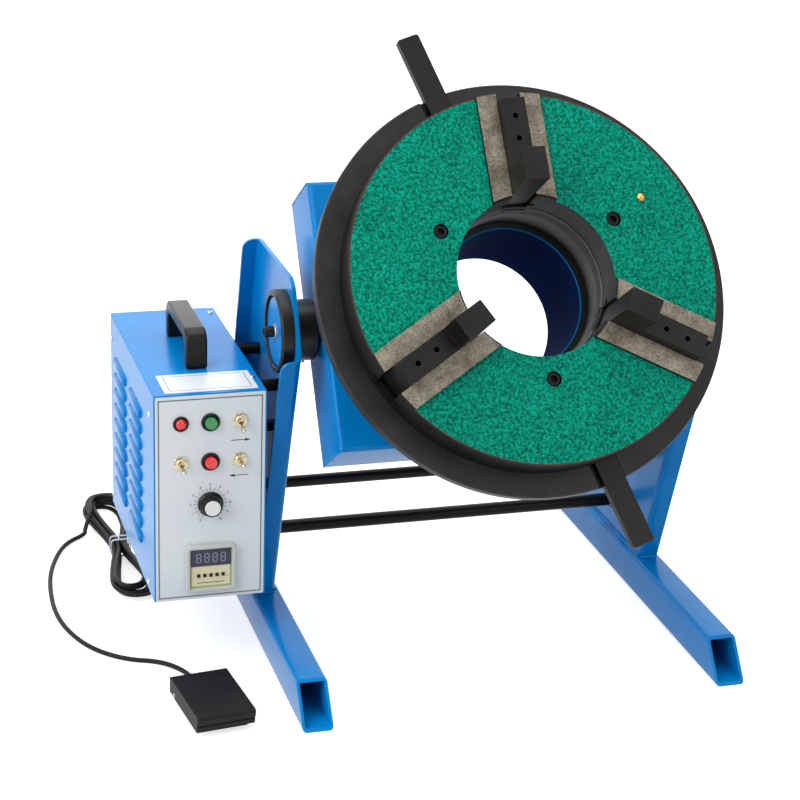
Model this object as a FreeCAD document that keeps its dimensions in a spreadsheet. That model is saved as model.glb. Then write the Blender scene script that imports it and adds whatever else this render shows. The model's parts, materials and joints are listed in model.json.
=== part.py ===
import FreeCAD, Part

"""Welding positioner: a tilting, turning table with a three-jaw chuck on a leaning two-leg frame.

Frame of the part: millimetres, +Z up, the floor at Z = 0, +X to the operator's right and -Y towards
the operator.  The origin is the middle of the footprint on the floor.  The table's own pieces are drawn
about the tilt axis, with local +Z along the spin axis, and are then leaned back by one placement.
"""
import math
import os
import Sketcher

doc = FreeCAD.newDocument("welding_positioner")
sheet = doc.addObject("Spreadsheet::Sheet", "sizes")
V = FreeCAD.Vector


class Dim:
    """A length that knows its value and the sheet formula that it comes from."""

    def __init__(self, value, text):
        self.value, self.text = float(value), text

    @staticmethod
    def of(thing):
        return thing if isinstance(thing, Dim) else Dim(thing, "(%.10g)" % thing)

    def join(self, other, sign, value):
        return Dim(value, "(%s %s %s)" % (self.text, sign, Dim.of(other).text))

    def __add__(self, other):
        return self.join(other, "+", self.value + float(other))

    def __sub__(self, other):
        return self.join(other, "-", self.value - float(other))

    def __mul__(self, other):
        return self.join(other, "*", self.value * float(other))

    def __truediv__(self, other):
        return self.join(other, "/", self.value / float(other))

    def __radd__(self, other):
        return Dim.of(other) + self

    def __rsub__(self, other):
        return Dim.of(other) - self

    def __rmul__(self, other):
        return Dim.of(other) * self

    def __neg__(self):
        return Dim(-self.value, "(0 - %s)" % self.text)

    def __float__(self):
        return self.value


def cos(angle):
    return Dim(math.cos(math.radians(float(angle))), "cos(%s * 1deg)" % Dim.of(angle).text)


def sin(angle):
    return Dim(math.sin(math.radians(float(angle))), "sin(%s * 1deg)" % Dim.of(angle).text)


def size(alias, number, note):
    """One driving dimension: a row of the sheet, and the value to work with."""
    size.row += 1
    sheet.set("A%d" % size.row, note)
    sheet.set("B%d" % size.row, str(number))
    sheet.setAlias("B%d" % size.row, alias)
    return Dim(number, "sizes." + alias)


size.row = 0

# ---------------------------------------------------------------- driving dimensions
mid_x = size("frame_mid_x", 58.7, "frame's middle plane, right of the origin")
tilt_y = size("tilt_axis_y", -33.41, "tilt axis, behind the origin")
tilt_z = size("tilt_axis_z", 337, "tilt axis above the floor")
rest_lean = size("rest_lean", 56.76, "spin axis away from straight up at rest, degrees")
gap = size("moving_gap", 0.4, "space between pieces that move past each other")
fit = size("running_fit", 0.05, "radial clearance of a shaft in its bore")

foot_wide = size("foot_wide", 30, "foot tube width")
foot_high = size("foot_high", 40, "foot tube height")
foot_wall = size("foot_wall", 3, "foot tube wall")
foot_bend = size("foot_corner", 4, "foot tube outer corner radius")
foot_front = size("foot_front", -177, "front tip of the feet, from the tilt axis")
foot_rear = size("foot_rear", 300, "rear tip of the feet, from the tilt axis")
foot_mitre = size("foot_mitre", 32, "how far the mitred ends lean back over their height")
anchor_r = size("anchor_radius", 4.5, "hole for an anchor bolt in a foot")
anchor_in = size("anchor_in", 62, "anchor hole from the tip of a foot")

web_thick = size("web_thick", 4, "upright sheet")
side_gap = size("side_gap", 25, "between the housing and an upright's web")
flange_wide = size("flange_width", 19.5, "upright's flanges, from the inner face of the web")
foot_inset = size("foot_inset", 6, "how far a foot's inner side lies inside the web")
lean_front = size("upright_lean_front", 0.34, "forward lean of the front edge, run over rise")
lean_back = size("upright_lean_back", 0.29, "forward lean of the back edge, run over rise")
base_front = size("upright_base_front", 45, "upright's front edge on the foot, from the tilt axis")
base_back = size("upright_base_back", 228, "upright's back edge on the foot, from the tilt axis")
flange_top = size("flange_top", 322, "top of the front flange above the floor")
upright_top = size("upright_top", 393, "top edge above the floor")
top_front = size("upright_top_front", -19, "front of the top edge, from the tilt axis")

upper_bar_r = size("upper_bar_radius", 6, "upper crossbar and the rods that carry the box")
lower_bar_r = size("lower_bar_radius", 7, "lower crossbar")
upper_bar_y = size("upper_bar_y", 70, "upper crossbar, from the tilt axis")
upper_bar_z = size("upper_bar_z", 150, "upper crossbar above the floor")
lower_bar_y = size("lower_bar_y", 135, "lower crossbar, from the tilt axis")
lower_bar_z = size("lower_bar_z", 71, "lower crossbar above the floor")

boss_r = size("bearing_radius", 29.5, "trunnion bearing outside")
ring_r = size("lock_ring_radius", 40, "lock ring outside")
ring_wide = size("lock_ring_width", 12.5, "lock ring width")
disc_r = size("tilt_disc_radius", 30.5, "tilt disc outside")
disc_thick = size("tilt_disc_thick", 6, "tilt disc")
journal_r = size("trunnion_radius", 15, "trunnion journal")
nut_r = size("tilt_nut_radius", 5.4, "round head of the tilt screw")
nut_long = size("tilt_nut_long", 11, "how far the tilt screw stands out of its disc")

pan_half = size("housing_half_width", 176, "housing side from the middle plane")
web_face = pan_half + side_gap
flange_tip = web_face + flange_wide
foot_at = web_face - foot_inset + foot_wide / 2
pan_top = size("housing_top", 136, "housing top above the tilt axis, in its own frame")
pan_low = size("housing_bottom", 129, "housing bottom below the tilt axis, in its own frame")
pan_front = size("housing_front", 38.5, "housing front face, ahead of the tilt axis")
pan_back = size("housing_back", 35, "housing back edge, behind the tilt axis")
pan_sheet = size("housing_sheet", 4, "housing sheet")
pan_bend = size("housing_bend", 5, "outer bend radius of the housing's edges")

face_at = size("chuck_face", 149.5, "chuck face ahead of the tilt axis")
chuck_r = size("chuck_radius", 177, "chuck body")
tube_r = size("spindle_radius", 78, "hollow spindle outside")
tube_wall = size("spindle_wall", 8, "hollow spindle wall")
bore_step = size("bore_step", 2, "chuck's bore inside the spindle's outside")
rim_wall = size("chuck_rim", 6, "chuck body outside its recess")
scroll_lip = size("scroll_lip", 23, "how far the scroll ring reaches beyond the chuck body")
chuck_thick = size("chuck_thick", 36, "chuck body")
land_wide = size("land_width", 62, "machined land beside a jaw")
land_high = size("land_height", 4, "land above the cast face")
slot_wide = size("jaw_slot_width", 23.8, "radial slot that guides a jaw")
hub_r = size("chuck_hub_radius", 106, "chuck hub that the scroll ring turns on")
screw_pcd = size("chuck_screw_circle", 195, "circle of the chuck screws")
scroll_thick = size("scroll_thick", 11.6, "scroll ring")
scroll_pitch = size("scroll_pitch", 10, "pitch of the scroll's spiral")
thread_low = size("scroll_thread_inner", 113, "inner radius of the scroll's thread")
thread_in = size("scroll_thread_in", 8, "between the scroll's thread and the recess wall")
thread_high = size("scroll_thread_height", 5, "height of the scroll's thread")
table_turn = size("table_turn", 1.5, "chuck turned from square at rest, degrees")
lever_turn = size("lever_turn", 108, "lever bars' direction at rest, degrees")
lever_wide = size("lever_width", 22.5, "lever bar")
lever_thick = size("lever_thick", 8, "lever bar")
lever_out = size("lever_out", 63, "how far a lever bar stands out of the scroll ring")
lever_in = size("lever_in", 32, "how far a lever bar reaches into the scroll ring")

jaw_wide = size("jaw_width", 23, "jaw")
jaw_start = size("jaw_start", 2, "inner end of a jaw outside the bore at rest")
jaw_short = size("jaw_short", 9, "outer end of a jaw inside the chuck's rim at rest")
jaw_step = size("jaw_step_length", 30, "length of the jaw's tall inner step")
jaw_step_high = size("jaw_step_height", 42, "tall step above the land")
jaw_base_high = size("jaw_base_height", 11.5, "low step above the land")
jaw_tongue = size("jaw_tongue", 5, "guide tongue, each side and high")

tube_bore = tube_r - tube_wall
bore_r = tube_r - bore_step
recess_r = chuck_r - rim_wall
thread_top = recess_r - thread_in
scroll_r = chuck_r + scroll_lip
lever_reach = scroll_r + lever_out
lever_root = scroll_r - lever_in
jaw_low = bore_r + jaw_start
jaw_far = chuck_r - jaw_short

flange_r = size("spindle_flange_radius", 118, "spindle flange")
flange_thick = size("spindle_flange_thick", 31, "spindle flange and its neck")
tube_back = size("spindle_back", 30, "rear end of the spindle, behind the tilt axis")
bearing_r = size("spindle_bearing_radius", 115, "spindle bearing housing")
bearing_thick = size("spindle_bearing_thick", 27, "spindle bearing housing")
gear_module = size("gear_module", 4, "module of the ring gear and pinion")
gear_wide = size("gear_width", 14, "ring gear face width")
gear_back = size("gear_back", -4, "rear face of the ring gear, ahead of the tilt axis")
pinion_turn = size("pinion_turn", -36, "direction of the pinion from the spin axis, degrees")
ring_teeth = 50
pinion_teeth = 12

box_wide = size("box_width", 109, "control box width")
box_deep = size("box_depth", 254, "control box depth")
box_high = size("box_height", 212.5, "control box height")
box_gap = size("box_gap", 9.3, "between the left upright's flanges and the control box")
box_side = -(flange_tip + box_gap)
box_front = size("box_front", -32, "control box front, from the tilt axis")
box_low = size("box_bottom", 78.3, "control box bottom above the floor")
box_sheet = size("box_sheet", 1.5, "control box sheet")
column_gap = size("panel_column_gap", 28.5, "spacing of the panel's columns")
row_top = size("panel_row_top", 183.2, "upper row above the box bottom")
row_low = size("panel_row_low", 143, "lower row above the box bottom")
knob_row = size("panel_knob_row", 99.5, "knob above the box bottom")
timer_row = size("panel_timer_row", 33.5, "timer above the box bottom")
timer_wide = size("timer_width", 48, "timer face, square")
handle_long = size("handle_length", 112, "carry handle")
handle_high = size("handle_height", 39, "carry handle above the box")
handle_wide = size("handle_width", 21, "carry handle")
handle_front = size("handle_front", 66, "front end of the carry handle behind the panel")

pedal_wide = size("pedal_width", 57, "foot pedal")
pedal_long = size("pedal_length", 88, "foot pedal")
pedal_high = size("pedal_height", 23, "foot pedal")
pedal_x = size("pedal_x", -300, "foot pedal's middle, from the middle plane")
pedal_y = size("pedal_y", -122, "foot pedal's middle, from the tilt axis")
pedal_turn = size("pedal_turn", 6.6, "foot pedal turned on the floor, degrees")
pedal_wall = size("pedal_wall", 2.5, "tread wall")
pin_r = size("pedal_pin_radius", 2, "pedal pin")
cord_r = size("cord_radius", 2.4, "pedal cord")
cord_up = size("pedal_cord_height", 9, "cord above the floor where it enters the pedal")
hank_x = size("hank_x", -327, "tie of the cord's hank, from the middle plane")
hank_y = size("hank_y", 253, "tie of the cord's hank, from the tilt axis")
hank_high = size("hank_height", 16, "cord's hank")
hank_low = size("hank_low", 1.2, "underside of the hank, raised by its tie")

# The cord's route, from the frame's middle plane, the tilt axis and the floor.
CORD_FLOOR_RUN = ((-336, 306, 8), (-358, 306, 4), (-380, 292, 2.6), (-395, 262, 2.6), (-409, 215, 2.6),
                  (-415, 165, 2.6), (-416, 115, 2.6), (-408, 70, 2.6), (-391, 30, 2.6), (-362, 1, 2.6),
                  (-330, -10, 2.6), (-312, -36, 4.5), (-306.2, -68.4, 9), (-304, -87.6, 9))
CORD_BOX_RUN = ((-300.3, 226, 110), (-300.3, 262, 110), (-301, 293, 88), (-304, 306, 52), (-309, 322, 22),
                (-313, 350, 11))

corner_r = size("upright_corner", 13, "rounding of an upright's top back corner")
web_bend = size("web_bend", 3.5, "outer bend radius between web and flanges")
tip_r = size("flange_tip_corner", 9, "rounded top corner of a flange")
set_screw_r = size("set_screw_radius", 3, "set screw under a bearing")
socket_half = size("socket_half", 3, "half across the flats of the tilt screw's hexagon")
cover_sheet = size("cover_sheet", 3, "housing's rear cover")
motor_r = size("motor_radius", 32, "gear motor")
motor_long = size("motor_length", 84, "gear motor behind the housing")
shaft_r = size("pinion_shaft_radius", 8, "pinion shaft")
tongue_low = size("jaw_tongue_low", 125.4, "bottom of a jaw's guide tongue, ahead of the tilt axis")
nipple_at = size("nipple_radius_out", 134, "grease nipple from the spin axis")
nipple_r = size("nipple_radius", 4.3, "grease nipple's hexagon, drawn round")
head_r = size("screw_head_radius", 6.6, "chuck screw head")
head_long = size("screw_head_long", 8, "chuck screw head")
shank_r = size("screw_shank_radius", 4, "chuck screw shank")
slot_gap = size("lever_slot_gap", 6, "open part of the slot beside a lever bar")
thread_play = size("thread_play", 0.6, "play between the spiral thread and a jaw's tooth, each side")
jaw_hole_r = size("jaw_hole_radius", 2.8, "tapped hole in a jaw's low step")

board_thick = size("board_thickness", 1.6, "control board")
board_long = size("board_length", 140, "control board")
board_high = size("board_height", 120, "control board")
board_in = size("board_in", 12, "control board inside the outer side of the box")
board_from = size("board_from", 75, "control board behind the panel")
board_up = size("board_up", 20, "control board above the box bottom")
iron_wide = size("iron_width", 46, "transformer core")
iron_deep = size("iron_depth", 56, "transformer core")
iron_high = size("iron_height", 48, "transformer core")
iron_from = size("iron_from", 150, "transformer core behind the panel")
coil_wide = size("coil_width", 62, "transformer winding")
coil_deep = size("coil_depth", 32, "transformer winding")
coil_high = size("coil_height", 28, "transformer winding")
panel_thick = size("panel_thickness", 2, "front panel")
lamp_r = size("lamp_hole_radius", 5.5, "hole for the pilot lamp")
button_hole_r = size("button_hole_radius", 7.5, "hole for a push button")
barrel_r = size("toggle_barrel_radius", 3, "threaded barrel of a toggle switch")
bush_r = size("knob_bush_radius", 4.5, "bush of the speed control")
gland_x = size("gland_across", -16, "cord gland from the middle of the box")
gland_row = size("gland_row", 31.7, "cord gland above the box bottom")
gland_r = size("gland_hole_radius", 5, "hole for the cord gland")
motor_socket_x = size("motor_socket_across", 25, "motor socket from the middle of the box")
motor_socket_r = size("motor_socket_radius", 8, "motor socket")
inlet_x = size("inlet_across", -16, "mains inlet from the middle of the box")
inlet_half = size("inlet_half_width", 14, "half of the mains inlet's width")
socket_row = size("socket_row", 150, "mains inlet and motor socket above the box bottom")
louver_rows = 9
louver_pitch = size("louver_pitch", 16.5, "spacing of the louvers, one above another")
louver_row = size("louver_first_row", 36.7, "lowest louver above the box bottom")
louver_front = size("louver_front", 70, "front end of the front column, behind the panel")
louver_shift = size("louver_shift", 91, "spacing of the two columns")
louver_long = size("louver_length", 65, "louver")
louver_high = size("louver_height", 9.5, "louver")
louver_proud = size("louver_proud", 3.6, "how far a louver stands out")

pinion_x = gear_module * (ring_teeth + pinion_teeth) / 2 * cos(pinion_turn)
pinion_y = gear_module * (ring_teeth + pinion_teeth) / 2 * sin(pinion_turn)
pressure_angle = math.radians(25)
backlash = 0.5
BUTTONS = ((0, row_top), (0, row_low))
TOGGLES = ((column_gap, row_top), (-column_gap, row_low), (column_gap, row_low))

UP = V(0, 0, 1)
HUGE = 1000
nodes = {}


# ---------------------------------------------------------------- drawing helpers
def bind(thing, path, dim):
    """Gives a property its value and, for a sheet value, the formula behind it."""
    if isinstance(dim, Dim):
        thing.setExpression(path, dim.text)


def frame_spot(x=0, y=0, z=0, turn=None):
    """A spot given from the frame's middle plane, the tilt axis and the floor."""
    return mid_x + x, tilt_y + y, Dim.of(z), turn or FreeCAD.Rotation()


def settle(thing, spot):
    """Puts a sub-part at its spot, with the sheet's formulas behind it."""
    where, turn = spot[:3], spot[3]
    thing.Placement = FreeCAD.Placement(V(*map(float, where)), turn)
    for letter, dim in zip("xyz", where):
        bind(thing, ".Placement.Base." + letter, dim)
    return thing


def new_body(label, spot):
    """A body of the document, kept as a sub-part under its label."""
    made = doc.addObject("PartDesign::Body", label)
    made.Label = label
    nodes[label] = made
    return settle(made, spot)


def sketch_on(made, role, offset=0, turn=0):
    """A sketch on one of the body's own planes, moved along the plane's normal."""
    sk = made.newObject("Sketcher::SketchObject", made.Name + "_sketch")
    plane = [feature for feature in made.Origin.OriginFeatures if feature.Role == role][0]
    sk.AttachmentSupport = [(plane, "")]
    sk.MapMode = "FlatFace"
    sk.AttachmentOffset = FreeCAD.Placement(V(0, 0, float(offset)), FreeCAD.Rotation(UP, float(turn)))
    bind(sk, ".AttachmentOffset.Base.z", offset)
    return sk


def fix_point(sk, geometry, end, x, y):
    """Holds one point of a sketch at its sheet values."""
    for kind, dim in (("DistanceX", x), ("DistanceY", y)):
        index = sk.addConstraint(Sketcher.Constraint(kind, geometry, end, float(dim)))
        bind(sk, "Constraints[%d]" % index, dim)


def outline(sk, corners):
    """A closed outline of straight edges."""
    flat = [V(float(x), float(y), 0) for x, y in corners]
    first = len(sk.Geometry)
    for index, start in enumerate(flat):
        sk.addGeometry(Part.LineSegment(start, flat[(index + 1) % len(flat)]))
    for index, (x, y) in enumerate(corners):
        after = first + (index + 1) % len(flat)
        sk.addConstraint(Sketcher.Constraint("Coincident", first + index, 2, after, 1))
        fix_point(sk, first + index, 1, x, y)
    return sk


def rectangle(sk, low_x, low_y, high_x, high_y):
    return outline(sk, [(low_x, low_y), (high_x, low_y), (high_x, high_y), (low_x, high_y)])


def circle(sk, x, y, radius):
    index = sk.addGeometry(Part.Circle(V(float(x), float(y), 0), UP, float(radius)))
    number = sk.addConstraint(Sketcher.Constraint("Radius", index, float(radius)))
    bind(sk, "Constraints[%d]" % number, radius)
    fix_point(sk, index, 3, x, y)
    return sk


def feature_of(made, kind, sk):
    made_feature = made.newObject("PartDesign::" + kind, made.Name + "_" + kind.lower())
    made_feature.Profile = sk
    sk.Visibility = False
    return made_feature


def pad(made, sk, length, middle=False, flip=False):
    thing = feature_of(made, "Pad", sk)
    thing.Length = float(length)
    thing.Midplane = middle
    thing.Reversed = flip
    bind(thing, "Length", length)
    return thing


def cut_through(made, sk):
    """A pocket right through the body, both ways from its sketch."""
    thing = feature_of(made, "Pocket", sk)
    thing.Length = HUGE
    thing.Midplane = True
    return thing


def pocket(made, sk, depth, flip=False):
    """A pocket against the sketch's normal, or along it when flipped."""
    thing = feature_of(made, "Pocket", sk)
    thing.Length = float(depth)
    thing.Reversed = flip
    bind(thing, "Length", depth)
    return thing


def turned(made, profile):
    """A body of revolution about local Z: profile points are (radius, height)."""
    sk = outline(sketch_on(made, "XZ_Plane"), profile)
    thing = feature_of(made, "Revolution", sk)
    thing.ReferenceAxis = (sk, ["V_Axis"])
    thing.Angle = 360
    return thing


def polar(made, features, count):
    """Copies features about local Z."""
    thing = made.newObject("PartDesign::PolarPattern", made.Name + "_copies")
    thing.Originals = features
    axis = [feature for feature in made.Origin.OriginFeatures if feature.Role == "Z_Axis"][0]
    thing.Axis = (axis, [""])
    thing.Angle = 360
    thing.Occurrences = count
    made.Tip = thing
    return thing


def soften(made, radius, chosen, kind="Fillet"):
    """Rounds or bevels the edges of the finished shape that the test picks out."""
    doc.recompute()
    tip = made.Tip
    names = ["Edge%d" % (number + 1) for number, edge in enumerate(tip.Shape.Edges) if chosen(edge)]
    thing = made.newObject("PartDesign::" + kind, made.Name + "_" + kind.lower())
    thing.Base = (tip, names)
    path = "Radius" if kind == "Fillet" else "Size"
    setattr(thing, path, float(radius))
    bind(thing, path, radius)
    return thing


def along(edge, direction):
    """True for a straight edge that runs along the direction."""
    if not isinstance(edge.Curve, Part.Line):
        return False
    return abs(edge.Curve.Direction.dot(direction)) > 0.999


def table_spot(turn=0, x=0, y=0):
    """A spot in the table's own frame: local Z along the spin axis, local X along the tilt axis."""
    lean = FreeCAD.Rotation(V(1, 0, 0), float(rest_lean))
    rise, run = y * sin(rest_lean), y * cos(rest_lean)
    return frame_spot(x, run, tilt_z + rise, lean.multiply(FreeCAD.Rotation(UP, float(turn))))


def across(side):
    """A spot on the tilt axis whose local Z points outwards on the given side."""
    return frame_spot(0, 0, tilt_z, FreeCAD.Rotation(V(0, 1, 0), 90 * side))


def box_spot(x=0, y=0, z=0, turn=None):
    """A spot given from the control box's front bottom edge, at the middle of its width."""
    return frame_spot(box_side - box_wide / 2 + x, box_front + y, box_low + z, turn)


def on_panel(x, row, drop=0):
    """A spot on the front panel whose local Z points at the operator, dropped by some degrees."""
    return box_spot(x, 0, row, FreeCAD.Rotation(V(1, 0, 0), 90 + drop))


def bar(label, spot, radius, length):
    """A plain round bar along its spot's local Z."""
    made = doc.addObject("Part::Cylinder", label)
    made.Label = label
    made.Radius, made.Height = float(radius), float(length)
    bind(made, "Radius", radius)
    bind(made, "Height", length)
    nodes[label] = made
    return settle(made, spot)


def block(label, spot, wide, deep, high):
    """A plain block whose corner is at its spot."""
    made = doc.addObject("Part::Box", label)
    made.Label = label
    made.Length, made.Width, made.Height = float(wide), float(deep), float(high)
    for path, dim in (("Length", wide), ("Width", deep), ("Height", high)):
        bind(made, path, dim)
    nodes[label] = made
    return settle(made, spot)


def group(label, bodies):
    """Several alike solids under one name."""
    made = doc.addObject("Part::Compound", label)
    made.Label = label
    made.Links = bodies
    for one in bodies:
        nodes.pop(one.Label, None)
    nodes[label] = made
    return made


# ---------------------------------------------------------------- the leaning frame
def foot(label, side):
    """A rectangular tube along the floor, cut at a slant at both ends and open there."""
    made = new_body(label, frame_spot(side * foot_at))
    profile = [(foot_front, 0), (foot_rear, 0), (foot_rear - foot_mitre, foot_high),
               (foot_front + foot_mitre, foot_high)]
    pad(made, outline(sketch_on(made, "YZ_Plane"), profile), foot_wide, middle=True)
    soften(made, foot_bend, lambda edge: along(edge, V(0, 1, 0)))
    inside = foot_wide / 2 - foot_wall
    cut_through(made, rectangle(sketch_on(made, "XZ_Plane"), -inside, foot_wall, inside, foot_high - foot_wall))
    holes = sketch_on(made, "XY_Plane")
    circle(holes, 0, foot_front + anchor_in, anchor_r)
    circle(holes, 0, foot_rear - anchor_in, anchor_r)
    pocket(made, holes, foot_wall + 2, flip=True)


def upright(label, side, bar_hole):
    """A folded channel: a leaning web whose front and back flanges turn outwards."""
    made = new_body(label, frame_spot())
    rise = upright_top - foot_high
    front_top = base_front - lean_front * (flange_top - foot_high)
    profile = [(base_front, foot_high), (front_top, flange_top), (top_front, upright_top),
               (base_back - lean_back * rise, upright_top), (base_back, foot_high)]
    face = sketch_on(made, "YZ_Plane", side * web_face)
    pad(made, outline(face, profile), flange_tip - web_face, flip=side < 0)
    soften(made, corner_r, lambda edge: along(edge, V(1, 0, 0)) and edge.CenterOfMass.z > float(upright_top) - 1)
    across_flange = web_thick * 1.05
    shoulder = upright_top - corner_r
    clear = [(base_front + across_flange, foot_high - 1), (front_top + across_flange, flange_top),
             (front_top - 50, flange_top), (front_top - 50, upright_top + 50),
             (base_back, upright_top + 50), (base_back, shoulder),
             (base_back - across_flange - lean_back * (shoulder - foot_high), shoulder),
             (base_back - across_flange, foot_high - 1)]
    inside = sketch_on(made, "YZ_Plane", side * (web_face + web_thick))
    pocket(made, outline(inside, clear), flange_tip, flip=side > 0)
    holes = circle(sketch_on(made, "YZ_Plane"), 0, tilt_z, journal_r + 2)
    if bar_hole:
        circle(holes, upper_bar_y, upper_bar_z, upper_bar_r)
    cut_through(made, holes)

    def bend(edge):
        flat = abs(abs(edge.CenterOfMass.x) - float(web_face)) < 0.01
        return flat and edge.Length > 200 and isinstance(edge.Curve, Part.Line)

    def tip_corner(edge):
        out = abs(abs(edge.CenterOfMass.x) - float(flange_tip)) < 0.01
        return out and edge.Length < 6 and edge.CenterOfMass.z > float(foot_high) + 5

    soften(made, tip_r, tip_corner)
    soften(made, web_bend, bend)


def crossbars():
    """Two bars that tie the legs; the upper one runs on through the web to carry the box."""
    turn = FreeCAD.Rotation(V(0, 1, 0), 90)
    bar("upper_crossbar", frame_spot(box_side, upper_bar_y, upper_bar_z, turn), upper_bar_r,
        web_face - box_side)
    bar("lower_crossbar", frame_spot(-web_face, lower_bar_y, lower_bar_z, turn), lower_bar_r, web_face * 2)
    rods = []
    for number, (y, z) in enumerate(((4, box_low + 203), (113, box_low + 203), (45, box_low + 145))):
        rods.append(bar("hanger_rod_%d" % number, frame_spot(box_side, y, z, turn), upper_bar_r,
                        -box_side - web_face - web_thick))
    group("box_hanger_rods", rods)


# ---------------------------------------------------------------- the tilt axis
def bearing(label, side):
    """The black bearing bolted inside a web, with a tapped hole for its set screw underneath."""
    made = new_body(label, across(side))
    start = pan_half + 1.6
    turned(made, [(journal_r + fit, start), (boss_r - 3, start), (boss_r, start + 3),
                  (boss_r, web_face), (journal_r + fit, web_face)])
    hole = circle(sketch_on(made, "YZ_Plane"), 0, (start + web_face) / 2, set_screw_r)
    pocket(made, hole, boss_r + 1, flip=side > 0)


def lock_ring(label, side):
    """The black ring outside a web that the tilt disc sits in."""
    made = new_body(label, across(side))
    start = web_face + web_thick
    turned(made, [(disc_r + gap, start), (ring_r, start), (ring_r, start + ring_wide - 1.5),
                  (ring_r - 1.5, start + ring_wide), (disc_r + gap, start + ring_wide)])
    return made


def trunnion(label, side):
    """The journal that carries the housing, with its flange inside the housing's wall."""
    made = new_body(label, across(side))
    wall = pan_half - pan_sheet
    turned(made, [(0, wall - 6), (journal_r + 12, wall - 6), (journal_r + 12, wall), (journal_r, wall),
                  (journal_r, web_face + web_thick + 3), (0, web_face + web_thick + 3)])
    return made


def tilt_disc(label, side):
    """The blue disc on the end of a trunnion, sunk a little into its lock ring."""
    made = new_body(label, across(side))
    start = web_face + web_thick + 3
    turned(made, [(0, start), (disc_r, start), (disc_r, start + disc_thick), (0, start + disc_thick)])
    return made


def tilt_screw(label, side):
    """The screw in the middle of a tilt disc, on its washer."""
    made = new_body(label, across(side))
    start = web_face + web_thick + 3 + disc_thick
    turned(made, [(0, start), (nut_r + 1.8, start), (nut_r + 1.8, start + 1.5), (nut_r, start + 1.5),
                  (nut_r, start + nut_long - 0.8), (nut_r - 0.8, start + nut_long), (0, start + nut_long)])
    hexagon = [(socket_half * 2 / 3 * 3 ** 0.5 * cos(60 * k), socket_half * 2 / 3 * 3 ** 0.5 * sin(60 * k))
               for k in range(6)]
    pocket(made, outline(sketch_on(made, "XY_Plane", start + nut_long), hexagon), 5)
    return made


def tilt_hardware():
    middle = (pan_half + 1.6 + web_face) / 2
    screws = []
    for side, name in ((-1, "left"), (1, "right")):
        bearing(name + "_bearing", side)
        upside_down = FreeCAD.Rotation(V(1, 0, 0), 180)
        spot = frame_spot(side * middle, 0, tilt_z - boss_r + 8, upside_down)
        screws.append(bar(name + "_set_screw", spot, set_screw_r - fit, 11.5))
    group("bearing_set_screws", screws)
    sides = ((-1, "left"), (1, "right"))
    group("lock_rings", [lock_ring(name + "_lock_ring", side) for side, name in sides])
    group("trunnions", [trunnion(name + "_trunnion", side) for side, name in sides])
    group("tilt_discs", [tilt_disc(name + "_tilt_disc", side) for side, name in sides])
    group("tilt_screws", [tilt_screw(name + "_tilt_screw", side) for side, name in sides])


# ---------------------------------------------------------------- the tilting housing
def housing():
    """A folded pan that carries the spindle bearing, and the flat cover behind it."""
    pan = new_body("housing_pan", table_spot())
    sk = rectangle(sketch_on(pan, "XY_Plane", -pan_back), -pan_half, -pan_low, pan_half, pan_top)
    pad(pan, sk, pan_back + pan_front)

    def front_bend(edge):
        return abs(edge.CenterOfMass.z - float(pan_front)) < 0.01

    soften(pan, pan_bend, front_bend)
    side, top, low = pan_half - pan_sheet, pan_top - pan_sheet, pan_low - pan_sheet
    inside = rectangle(sketch_on(pan, "XY_Plane", -pan_back - 1), -side, -low, side, top)
    pocket(pan, inside, pan_back + 1 + pan_front - pan_sheet, flip=True)
    cut_through(pan, circle(sketch_on(pan, "XY_Plane"), 0, 0, tube_r + 2))
    cut_through(pan, circle(sketch_on(pan, "YZ_Plane"), 0, 0, journal_r))

    cover = new_body("housing_rear_cover", table_spot())
    sk = sketch_on(cover, "XY_Plane", -pan_back)
    rectangle(sk, -side, -low, side, top)
    circle(sk, 0, 0, tube_r - 3)
    circle(sk, pinion_x, pinion_y, motor_r + 0.5)
    pad(cover, sk, cover_sheet)

    ring = new_body("spindle_bearing", table_spot())
    front = pan_front + bearing_thick
    turned(ring, [(tube_r + fit, pan_front), (bearing_r, pan_front), (bearing_r, front - 2),
                  (bearing_r - 2, front), (tube_r + fit, front)])


def drive():
    """A gearbox and motor inside and behind the housing, beside the spindle."""
    box_back, box_front_face = cover_sheet - pan_back, gear_back - 8
    case = new_body("gearbox", table_spot(0, pinion_x, pinion_y))
    boss_top = gear_back - 1.5
    turned(case, [(0, box_back), (motor_r + 4, box_back), (motor_r + 4, box_front_face),
                  (shaft_r + 7, box_front_face), (shaft_r + 7, boss_top), (shaft_r + fit, boss_top),
                  (shaft_r + fit, box_back + 4), (0, box_back + 4)])
    motor = new_body("gear_motor", table_spot(0, pinion_x, pinion_y))
    rear = -pan_back - motor_long
    turned(motor, [(0, rear), (motor_r - 6, rear), (motor_r, rear + 6), (motor_r, box_back), (0, box_back)])
    pinion = new_body("pinion", table_spot(pinion_turn + 180 + 180 / pinion_teeth, pinion_x, pinion_y))
    toothed(pinion, pinion_teeth, 0)
    stub = circle(sketch_on(pinion, "XY_Plane", box_back + 5), 0, 0, shaft_r)
    pad(pinion, stub, gear_back - box_back - 4)
    pinion.Tip = pinion.Group[-1]


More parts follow.
